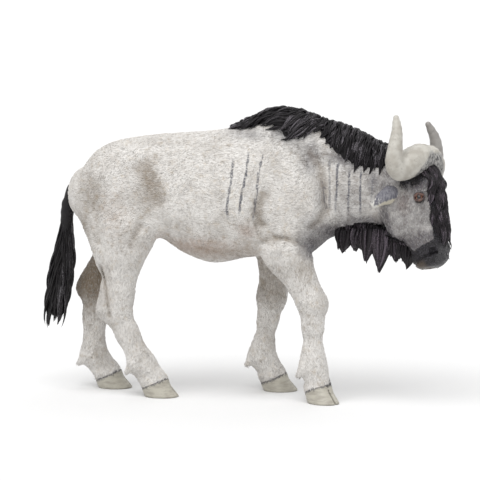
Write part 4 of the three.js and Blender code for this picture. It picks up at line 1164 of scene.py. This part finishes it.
def strandTree():
    tree = groupTree("strands", [("Sides", "Int"), ("Flatness", "Float"), ("Thickness", "Float"),
                                 ("Patch", "Float"), ("Material", "Material")])
    given = putNode(tree, "NodeGroupInput").outputs
    line = putNode(tree, "GeometryNodeMeshToCurve", {"Mesh": given["Geometry"]})
    lie = putNode(tree, "GeometryNodeSetCurveNormal",
                  {"Curve": line.outputs[0], "Normal": named(tree, "facing", "FLOAT_VECTOR")}, mode="FREE")
    circle = putNode(tree, "GeometryNodeCurvePrimitiveCircle", {"Resolution": given["Sides"], "Radius": 1})
    flat = putNode(tree, "ShaderNodeCombineXYZ", {"X": given["Flatness"], "Y": 1, "Z": 1})
    shape = putNode(tree, "GeometryNodeTransform", {"Geometry": circle.outputs[0], "Scale": flat.outputs[0]})
    round1 = putNode(tree, "GeometryNodeSplineParameter").outputs["Factor"]
    lap = putNode(tree, "GeometryNodeStoreNamedAttribute",
                  {"Geometry": shape.outputs[0], "Name": "lap", "Value": round1},
                  data_type="FLOAT", domain="POINT")
    thick = sums(tree, "MULTIPLY", named(tree, "girth"), given["Thickness"])
    body = putNode(tree, "GeometryNodeCurveToMesh", {"Curve": lie.outputs[0], "Profile Curve": lap.outputs[0],
                                                     "Scale": thick, "Fill Caps": True})
    return closeTree(tree, given, body.outputs[0], ("reach", "lap"))


strands = strandTree()


def grown(name, hair, material, sides=5, flatness=0.5, thickness=1.0):
    # Lines to a plain mesh of strands
    lines = bpy.data.meshes.new(name + "_lines")
    points = (np.concatenate(hair["points"]) - drawingShift) * mm
    lines.from_pydata(points.tolist(), hair["edges"], [])
    for key in ("girth", "tone", "reach", "rootU", "rootV"):
        values = np.concatenate(hair[key]) * (mm if key == "girth" else 1)
        lines.attributes.new(key, "FLOAT", "POINT").data.foreach_set("value", values.astype(np.float32))
    facing = np.concatenate(hair["facing"]).astype(np.float32)
    lines.attributes.new("facing", "FLOAT_VECTOR", "POINT").data.foreach_set("vector", facing.ravel())
    source = bpy.data.objects.new(name + "_lines", lines)
    bpy.context.collection.objects.link(source)
    mesh = grownMesh(source, strands, {"Sides": sides, "Flatness": flatness, "Thickness": thickness,
                                       "Patch": chart["patch"], "Material": material})
    piece = addPiece(name, mesh)
    mesh.calc_loop_triangles()
    print(name + ":", len(hair["girth"]), "strands,", len(mesh.loop_triangles), "triangles")
    return piece


def corePiece(name, points, faces, material, tone, reach=0.3):
    # A smooth body under the strands, in their paint
    piece = meshPiece(name, points, faces)
    addFloat(piece, "tone", tone + np.zeros(len(points)))
    addFloat(piece, "reach", np.full(len(points), reach))
    piece.data.materials.append(material)
    return piece


def outTo(start, way, lift, far, turns):
    # How far along the way each place comes to lie this much outside the body, by halving
    near, far = np.zeros(len(start)), np.full(len(start), far)
    for _ in range(turns):
        middle = (near + far) / 2
        inside = bodyDistance(start + way * middle[:, None]) < lift
        near, far = np.where(inside, middle, near), np.where(inside, far, middle)
    return near[:, None]


# Mane: how high it stands on the crest and how far round it reaches, in degrees, along the back.
# The locks of a row start and end at shares of that reach; the sweep is how far back they lean at each x.
maneRows = np.array([(-6, 0.4, 7), (0, 1.4, 12), (4, 2.2, 17), (8, 2.7, 23), (11, 2.8, 28), (13.5, 2.6, 34),
                     (17, 1.5, 30), (19.5, 0.7, 20), (22, 0.5, 16), (26, 1.8, 35), (30, 3, 48), (35, 3.2, 53),
                     (41, 2.6, 46)], float)
mane = {"locks": 33, "rows": [(0.0, 0.42, 1.05), (0.16, 0.66, 0.9), (0.36, 0.88, 0.7), (0.56, 1.1, 0.5)],
        "strands": 8, "width": 2.9, "from": -6.5, "to": 42.5, "firstLock": -3.2, "locksOver": 45.4,
        "sweep": [(-4, 1.4), (4, 3), (9, 4.6), (14, 4.4), (25, 1.1), (42, 0.6)]}


def maneAt(x, angle):
    crest, edge = (np.interp(x, maneRows[:, 0], maneRows[:, c]) for c in (1, 2))
    return crest * np.maximum(1 - (angle / edge) ** 2, 0), edge


def onTrunk(x, angle, lift):
    x, angle, lift = (np.asarray(each, float) for each in np.broadcast_arrays(x, angle, lift))
    low, high, sideways = (np.interp(x, trunk[:, 0], trunk[:, c]) for c in (1, 2, 4))
    centre = np.stack([x, sideways, low + (high - low) * 0.55], -1)
    way = np.stack([x * 0, np.sin(np.radians(angle)), np.cos(np.radians(angle))], -1)
    return centre + way * outTo(centre, way, lift, far=40.0, turns=22)


def makeMane():
    rows, ring = 70, 33
    start, stop = mane["from"], mane["to"]
    x = np.repeat(np.linspace(start, stop, rows), ring)
    share = np.tile(np.linspace(-1, 1, ring), rows)
    ends = np.minimum(ease(x, start, start + 3.5), ease(x, stop, stop - 1.5))
    lift, edge = maneAt(x, 0 * x)
    ripple = 0.25 * np.sin(x * 1.7 + 2 * share) + 0.2 * np.sin(x * 3.1 - 5 * share)
    height = (lift * 0.72 * (1 - share ** 2) + ripple * (1 - np.abs(share))) * ends
    height = height - 0.5 * (np.abs(share) ** 6) - 0.3 * (1 - ends)
    points = onTrunk(x, share * edge * (0.94 + 0.05 * np.sin(x * 2.6)), height)
    faces = [(i * ring + k, i * ring + k + 1, (i + 1) * ring + k + 1, (i + 1) * ring + k)
             for i in range(rows - 1) for k in range(ring - 1)]
    corePiece("mane_core", points, np.array(faces)[:, ::-1], maneHair, 0.2)
    hair = newHair()
    t = np.linspace(0, 1, 6)
    for row, (start, stop, lay) in enumerate(mane["rows"]):
        outer = row == len(mane["rows"]) - 1
        for i in range(mane["locks"]):
            for side in (-1, 1):
                place = (i + 0.33 * row + noise(-0.3, 0.3)) / mane["locks"]
                x0 = mane["firstLock"] + place * mane["locksOver"]
                sweep = np.interp(x0, *zip(*mane["sweep"])) * (0.6 + 0.3 * row) * noise(0.7, 1.3)
                x = x0 - sweep * t
                begin = start + 0.02 if row else -0.12
                loose = noise(0.78, 1.2) if outer else noise(0.88, 1.12)
                angle = maneAt(x, 0)[1] * (begin + (stop * loose - begin) * t)
                raised = 0.5 * lay * np.sin(math.pi * np.minimum(t * 0.8 + 0.1, 1)) * noise(0.4, 1.5)
                lift = (maneAt(x, angle)[0] * 0.72 + raised) * ease(x, -8, 2) + 0.1
                path = onTrunk(x, side * angle, np.maximum(lift, 0.42 - 0.12 * t))
                wide = mane["width"] * noise(0.75, 1.2) * (0.8 if outer else 1)
                bundle(hair, path, slopeOf(bodyDistance, path, 0.3), wide, 0.9, mane["strands"], girth=0.3)
    return grown("mane_hair", hair, maneHair, sides=4)


maneStrands = makeMane()

# Beard: locks hanging from the throat to these tips (x, z), in layers across the neck
beard = {"tips": [(28.8, 42), (32.4, 42.8), (35.6, 39.6), (39.3, 36.8), (42.2, 41.8), (44.6, 40),
                  (47.8, 38.2)],
         "roots": [(28, 49.4), (38, 50.4), (44, 49), (49, 46.6)],
         "upper": [(28, 49.6), (35, 51.8), (40, 50.6), (46, 47.4), (49, 45.8)],
         "layers": [-4.4, -2.2, 0, 2.2, 4.2], "strands": 20, "width": 5.2,
         "upperLocks": 15, "upperFirst": 28.5, "upperStep": 1.35}


def beardMiddle(x):
    return np.interp(x, [29, 47], [-1, -3.6])


def makeBeard():
    def core(p):
        d = soft(barDistance(p, (30, -1.3, 47.6), 1.6, (37, -1.9, 45.8), 2.9, 0.8),
                 barDistance(p, (37, -1.9, 45.8), 2.9, (45.4, -3.6, 44.2), 1.7, 0.8), 2)
        return d + 0.3 * np.sin(p[:, 0] * 1.9) * np.sin(p[:, 1] * 1.7 + p[:, 2])

    points, faces = skinOf(core, *spans((24, 52), (-9, 4), (38, 54), 0.55), settle=False)
    corePiece("beard_core", points, faces, beardHair, 0.15)
    hair = newHair()
    t = np.linspace(0, 1, 6)
    for x, z in beard["tips"]:
        for layer in beard["layers"]:
            outer = abs(layer) / 8
            tip = np.array([x + noise(-0.5, 0.5), beardMiddle(x) + layer * 0.5,
                            z + outer * 2.2 * noise(0.4, 1.2)])
            root = np.array([x + 1.2 + noise(-0.5, 0.5), beardMiddle(x) + layer * 0.95,
                             np.interp(x, *zip(*beard["roots"]))])
            path = root + (tip - root) * t[:, None]
            path[:, 1] += np.sign(layer) * 0.9 * np.sin(math.pi * t * 0.9)
            path[:, 0] += 0.5 * np.sin(math.pi * t) * noise(-1, 1)
            bundle(hair, path, (0, np.sign(layer) or -1, 0.1), beard["width"] * noise(0.85, 1.1), 1.4,
                   beard["strands"], girth=0.33, taper=2.2, point=6)
    # The upper locks lie on the jaw and the throat
    for i in range(beard["upperLocks"]):
        for side in (-1, 1):
            x = beard["upperFirst"] + i * beard["upperStep"] + noise(-0.3, 0.3)
            px = x - 0.8 * t
            pz = np.interp(x, *zip(*beard["upper"])) + noise(-0.5, 0.5) - 6.4 * t
            seat, way = np.stack([px, beardMiddle(px), pz], -1), np.array([0, side, 0])
            least = 0.75 * (4.9 - 0.9 * t)[:, None]
            path = seat + way * np.maximum(outTo(seat, way, 0.25, far=14.0, turns=14), least)
            bundle(hair, path, (0, side, 0.1), 2.8, 0.8, 8, girth=0.3)
    return grown("beard_hair", hair, beardHair)


beardStrands = makeBeard()

# Face hair: short strands lying down the black band from the boss to the nose
faceLocks = {"locks": 150, "long": 3.6, "strands": 5, "from": 6.2, "to": 27,
             "reach": [(6, 4.6), (10, 5.2), (16, 4.2), (27, 3.9)]}


def faceSurface(down, left):
    seat = onHead(down[:, None], 0, left[:, None])
    return seat + outOfFace * outTo(seat, outOfFace, 0.05, far=14.0, turns=16)


def makeFaceHair():
    hair = newHair()
    t = np.linspace(0, 1, 4)
    rise = 0.06 + 0.28 * np.sin(math.pi * np.minimum(t * 0.8 + 0.1, 1))
    for _ in range(faceLocks["locks"]):
        down = noise(faceLocks["from"], faceLocks["to"])
        left = noise(-1, 1) * np.interp(down, *zip(*faceLocks["reach"]))
        out = outOfFace + headLeft * left * 0.18
        path = faceSurface(down + faceLocks["long"] * t, left * (1 + 0.12 * t)) + out * rise[:, None]
        bundle(hair, path, out, 1.9, 0.35, faceLocks["strands"], girth=0.22, curl=0.2)
    grown("face_hair", hair, beardHair, sides=4)


makeFaceHair()


# Coat: fine moulded fur over the whole skin, each stroke lying the way the hair grows there
furStrokes = {"density": 2.3, "length": 1.05, "width": 0.26, "lift": 0.085, "seed": 11}


def layOf(p):
    # The way the hair lies, with a slow swirl
    at = headSpace(p)
    onFace = (ease(at[:, 0], -1, 3) * ease(at[:, 1], -12, -8) * ease(p[:, 0], 38, 42))[:, None]
    leg = ease(p[:, 2], 50, 40)[:, None] * (1 - onFace)
    neck = ease(p[:, 0], 18, 26)[:, None] * (1 - onFace)
    lay = np.array([-0.9, 0, -0.35]) * (1 - neck) + np.array([-0.35, 0, -0.9]) * neck
    lay = lay * (1 - leg) + np.array([-0.15, 0, -1]) * leg
    lay = lay * (1 - onFace) + downFace * onFace
    x, z = p[:, 0], p[:, 2]
    swirl = 0.55 * np.sin(x * 0.31 + 1.3 * np.sin(z * 0.23)) + 0.3 * np.sin(z * 0.7 - x * 0.5)
    turn, ends = np.cos(swirl), np.sin(swirl)
    return np.stack([lay[:, 0] * turn - lay[:, 2] * ends, lay[:, 1], lay[:, 0] * ends + lay[:, 2] * turn], -1)


def growthOf(p):
    # Bare where stripes are drawn, on the muzzle, round the eyes and over the hooves
    phase, room, show = stripeValues(p)
    onStripe = ease(np.abs(phase - np.round(phase)) * room, 0.95, 0.45) * ease(show, 0.2, 0.5)
    at = headSpace(p)
    side = np.abs(at[:, 2])
    nose = ease(at[:, 0], 26.5, 28) * ease(p[:, 0], 42, 45)
    around = np.linalg.norm(np.stack([at[:, 0], at[:, 1], side], -1) - np.array(eyeSeat), axis=1)
    return (1 - onStripe) * (1 - 0.93 * nose) * ease(around, 1.9, 2.6) * ease(-coronetPlane(p), 0.25, 0.8)


def furTree():
    tree = groupTree("fur strokes", [("Stroke", "Object"), ("Density", "Float"), ("Seed", "Int"),
                                     ("Patch", "Float"), ("Material", "Material")])
    given = putNode(tree, "NodeGroupInput").outputs
    density = sums(tree, "MULTIPLY", given["Density"], named(tree, "growth"))
    spread = putNode(tree, "GeometryNodeDistributePointsOnFaces",
                     {"Mesh": given["Geometry"], "Seed": given["Seed"], "Density": density},
                     distribute_method="RANDOM").outputs
    turn = putNode(tree, "FunctionNodeAxesToRotation",
                   {"Primary Axis": spread["Normal"], "Secondary Axis": named(tree, "lay", "FLOAT_VECTOR")},
                   primary_axis="Z", secondary_axis="X")
    size = putNode(tree, "FunctionNodeRandomValue", {2: 0.65, 3: 1.3, "Seed": given["Seed"]},
                   data_type="FLOAT")
    stroke = putNode(tree, "GeometryNodeObjectInfo", {"Object": given["Stroke"]})
    laid = putNode(tree, "GeometryNodeInstanceOnPoints",
                   {"Points": spread["Points"], "Instance": stroke.outputs["Geometry"],
                    "Rotation": turn.outputs["Rotation"], "Scale": size.outputs[1]})
    return closeTree(tree, given, laid.outputs[0], ("spanU", "spanV"))


def makeCoat():
    long, wide, lift = (furStrokes[key] * mm for key in ("length", "width", "lift"))
    points = [(-0.1 * long, 0, -0.6 * lift), (0.35 * long, -wide / 2, 0), (0.35 * long, wide / 2, 0),
              (0.4 * long, 0, 1.5 * lift), (long, 0, 0.7 * lift)]
    strokeMesh = bpy.data.meshes.new("stroke")
    strokeMesh.from_pydata(points, [], [(0, 1, 3), (0, 3, 2), (1, 4, 3), (3, 4, 2)])
    stroke = bpy.data.objects.new("stroke", strokeMesh)
    source = bpy.data.objects.new("coat_source", skin.data.copy())
    for each in (stroke, source):
        bpy.context.collection.objects.link(each)
    for name, values in (("spanU", (0, 0.4, 0.4, 0.5, 1)), ("spanV", (0.5, 0, 1, 0.5, 0.5)),
                         ("tuft", (0, 0.4, 0.4, 1, 0.9))):
        addFloat(stroke, name, values)
    lay = layOf(skinPoints).astype(np.float32)
    source.data.attributes.new("lay", "FLOAT_VECTOR", "POINT").data.foreach_set("vector", lay.ravel())
    for name, values in zip(("growth", "rootU", "rootV"), (growthOf(skinPoints), *unrolled(skinPoints))):
        addFloat(source, name, values)
    mesh = grownMesh(source, furTree(), {"Stroke": stroke, "Density": furStrokes["density"] * 1e6,
                                         "Seed": furStrokes["seed"], "Patch": chart["patch"], "Material": coat})
    bpy.data.objects.remove(stroke)
    addPiece("coat_fur", mesh, smooth=False)
    print("coat fur:", len(mesh.polygons), "triangles")


makeCoat()

# Tail: a bare dock, then a long tuft
tail = {"path": [(-50.2, 0, 59.2), (-52.4, 0, 55), (-53, 0, 49.5), (-53.6, 0, 42.5), (-54.6, 0, 35.5),
                 (-55.8, 0, 28.4), (-57.2, 0, 20)], "dock": 0.42, "locks": 13, "strands": 10}
tailLine = smoothCurve(tail["path"], 60)


def tailAt(t):
    return resampled(tailLine, np.linspace(0, 1, len(tailLine)), t)


def makeTail():
    def dock(p):
        shares = tail["dock"] * np.linspace(0, 1, 8)
        bars = [barDistance(p, tailAt(a), 2.05 - 1.1 * a, tailAt(b), 2.05 - 1.1 * b)
                for a, b in zip(shares, shares[1:])]
        root = barDistance(p, (-47.5, 0, 60.5), 3, (-50.6, 0, 59), 2.1)
        return soft(joined(bars, 0.4), root, 1.5)

    def core(p):
        shares = 0.28 + 0.08 * np.arange(9)
        girths = 1.5 + 1.1 * np.sin(math.pi * np.minimum((shares - 0.28) / 0.68, 0.93))
        bars = [barDistance(p, tailAt(a), ra, tailAt(b), rb, 0.75)
                for a, b, ra, rb in zip(shares, shares[1:], girths, girths[1:])]
        return joined(bars, 0.5) + 0.2 * np.sin(p[:, 2] * 1.3 + 2 * np.sin(p[:, 0]))

    points, faces = skinOf(dock, *spans((-60, -43), (-4.6, 4.6), (36, 66), 0.42))
    pale = 0.2 + 0.5 * ease(points[:, 0], -53, -51)
    upper = corePiece("dock", points, faces, tailHair, pale, 0.4)
    points, faces = skinOf(core, *spans((-64, -46), (-5, 5), (14, 56), 0.5), settle=False)
    corePiece("tail_core", points, faces, tailHair, 0.15)
    hair = newHair()

    def rootAt(p):
        return 0.02 + (62 - p[2]) / 400, 0.5 + 0.2 * math.atan2(p[1], p[0] + 54) / chart["round"]

    for i in range(tail["locks"]):
        for k in range(6):
            start = 0.05 + 0.75 * i / tail["locks"] + 0.012 * noise(-1, 1)
            turn = math.pi / 3 * (k + 0.5 * (i % 2)) + noise(-0.2, 0.2)
            way = np.array([math.cos(turn) * 1.5, math.sin(turn) * 0.85, 0])
            swell = 0.45 + 1.45 * ease(start, 0.05, 0.45) * (1 - 0.5 * ease(start, 0.6, 0.9))
            long = 0.3 + 0.03 * noise(-1, 1)
            path = []
            for t, out in ((0, 0.55), (0.3, 1.0), (0.6, 1.25), (0.85, 1.2), (1, 1.0)):
                s = start + long * t
                over = max(s - 1, 0)
                path.append(tailAt(min(s, 1)) + way * swell * out + np.array([-2, 0, -32]) * over)
            pale = noise(0.5, 0.8) if way[0] > 0.4 else noise(0, 0.55)
            bundle(hair, path, way, 2.3 + 0.6 * swell / 1.9, 0.6 + 0.25 * swell, tail["strands"], girth=0.32,
                   rootAt=rootAt, curl=0.35, tone=pale, taper=2.2, point=6)
    return upper, grown("tail_hair", hair, tailHair)


dockPiece, tailStrands = makeTail()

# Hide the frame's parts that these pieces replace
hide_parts("torso", "neck", "head", "muzzle", "leg_hind_right", "leg_hind_left", "leg_front_right",
            "leg_front_left")
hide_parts("hoof_hind_right", "hoof_hind_left", "hoof_front_right", "hoof_front_left")
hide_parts("horn_boss", "horn_right", "horn_left")
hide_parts("tail_dock")
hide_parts("tail_tuft")
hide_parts("mane_withers", "mane_neck")
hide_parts("beard")
for name in ("right", "left"):
    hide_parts("ear_" + name)
    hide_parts("eye_" + name)

# Floor, light and camera
view = {"azimuth": 10, "elevation": 7, "distance": 900, "target": (-1.5, 0, 45.4), "scale": 3.45,
        "pixels": 480}
floorMesh = bpy.data.meshes.new("floor")
floorMesh.from_pydata([(-3, -3, 0), (3, -3, 0), (3, 3, 0), (-3, 3, 0)], [], [(0, 1, 2, 3)])
floor = bpy.data.objects.new("floor", floorMesh)
bpy.context.collection.objects.link(floor)
floorPaint, _, floorShader = finishOf("white floor", roughness=0.9, specular=0.1)
floorShader.inputs["Base Color"].default_value = (0.76, 0.76, 0.76, 1)
floorMesh.materials.append(floorPaint)

world = bpy.context.scene.world or bpy.data.worlds.new("studio")
bpy.context.scene.world = world
world.use_nodes = True
world.node_tree.nodes["Background"].inputs["Color"].default_value = (1, 1, 1, 1)
world.node_tree.nodes["Background"].inputs["Strength"].default_value = 0.72

target = (np.array(view["target"]) - drawingShift) * mm


def aimed(thing, place):
    thing.location = place
    thing.rotation_euler = (Vector(target) - Vector(place)).to_track_quat("-Z", "Y").to_euler()
    bpy.context.collection.objects.link(thing)


for name, place, power, wide in (("overhead light", (-0.14, -0.5, 1.1), 2.15, 50),
                                 ("rim light", (0.2, 0.8, 0.8), 0.35, 60)):
    lamp = bpy.data.lights.new(name, "SUN")
    lamp.energy = power
    lamp.angle = math.radians(wide)
    aimed(bpy.data.objects.new(name, lamp), place)

azimuth, elevation = (math.radians(view[key]) for key in ("azimuth", "elevation"))
away = np.array([math.sin(azimuth) * math.cos(elevation), -math.cos(azimuth) * math.cos(elevation),
                 math.sin(elevation)])
lens = bpy.data.cameras.new("camera")
lens.sensor_width = 36
lens.lens = lens.sensor_width * view["distance"] * view["scale"] / view["pixels"]
lens.clip_start = 0.01
camera = bpy.data.objects.new("camera", lens)
aimed(camera, tuple(target + away * view["distance"] * mm))
bpy.context.scene.camera = camera
bpy.context.scene.view_settings.view_transform = "Standard"
print("floor, lights and camera set")
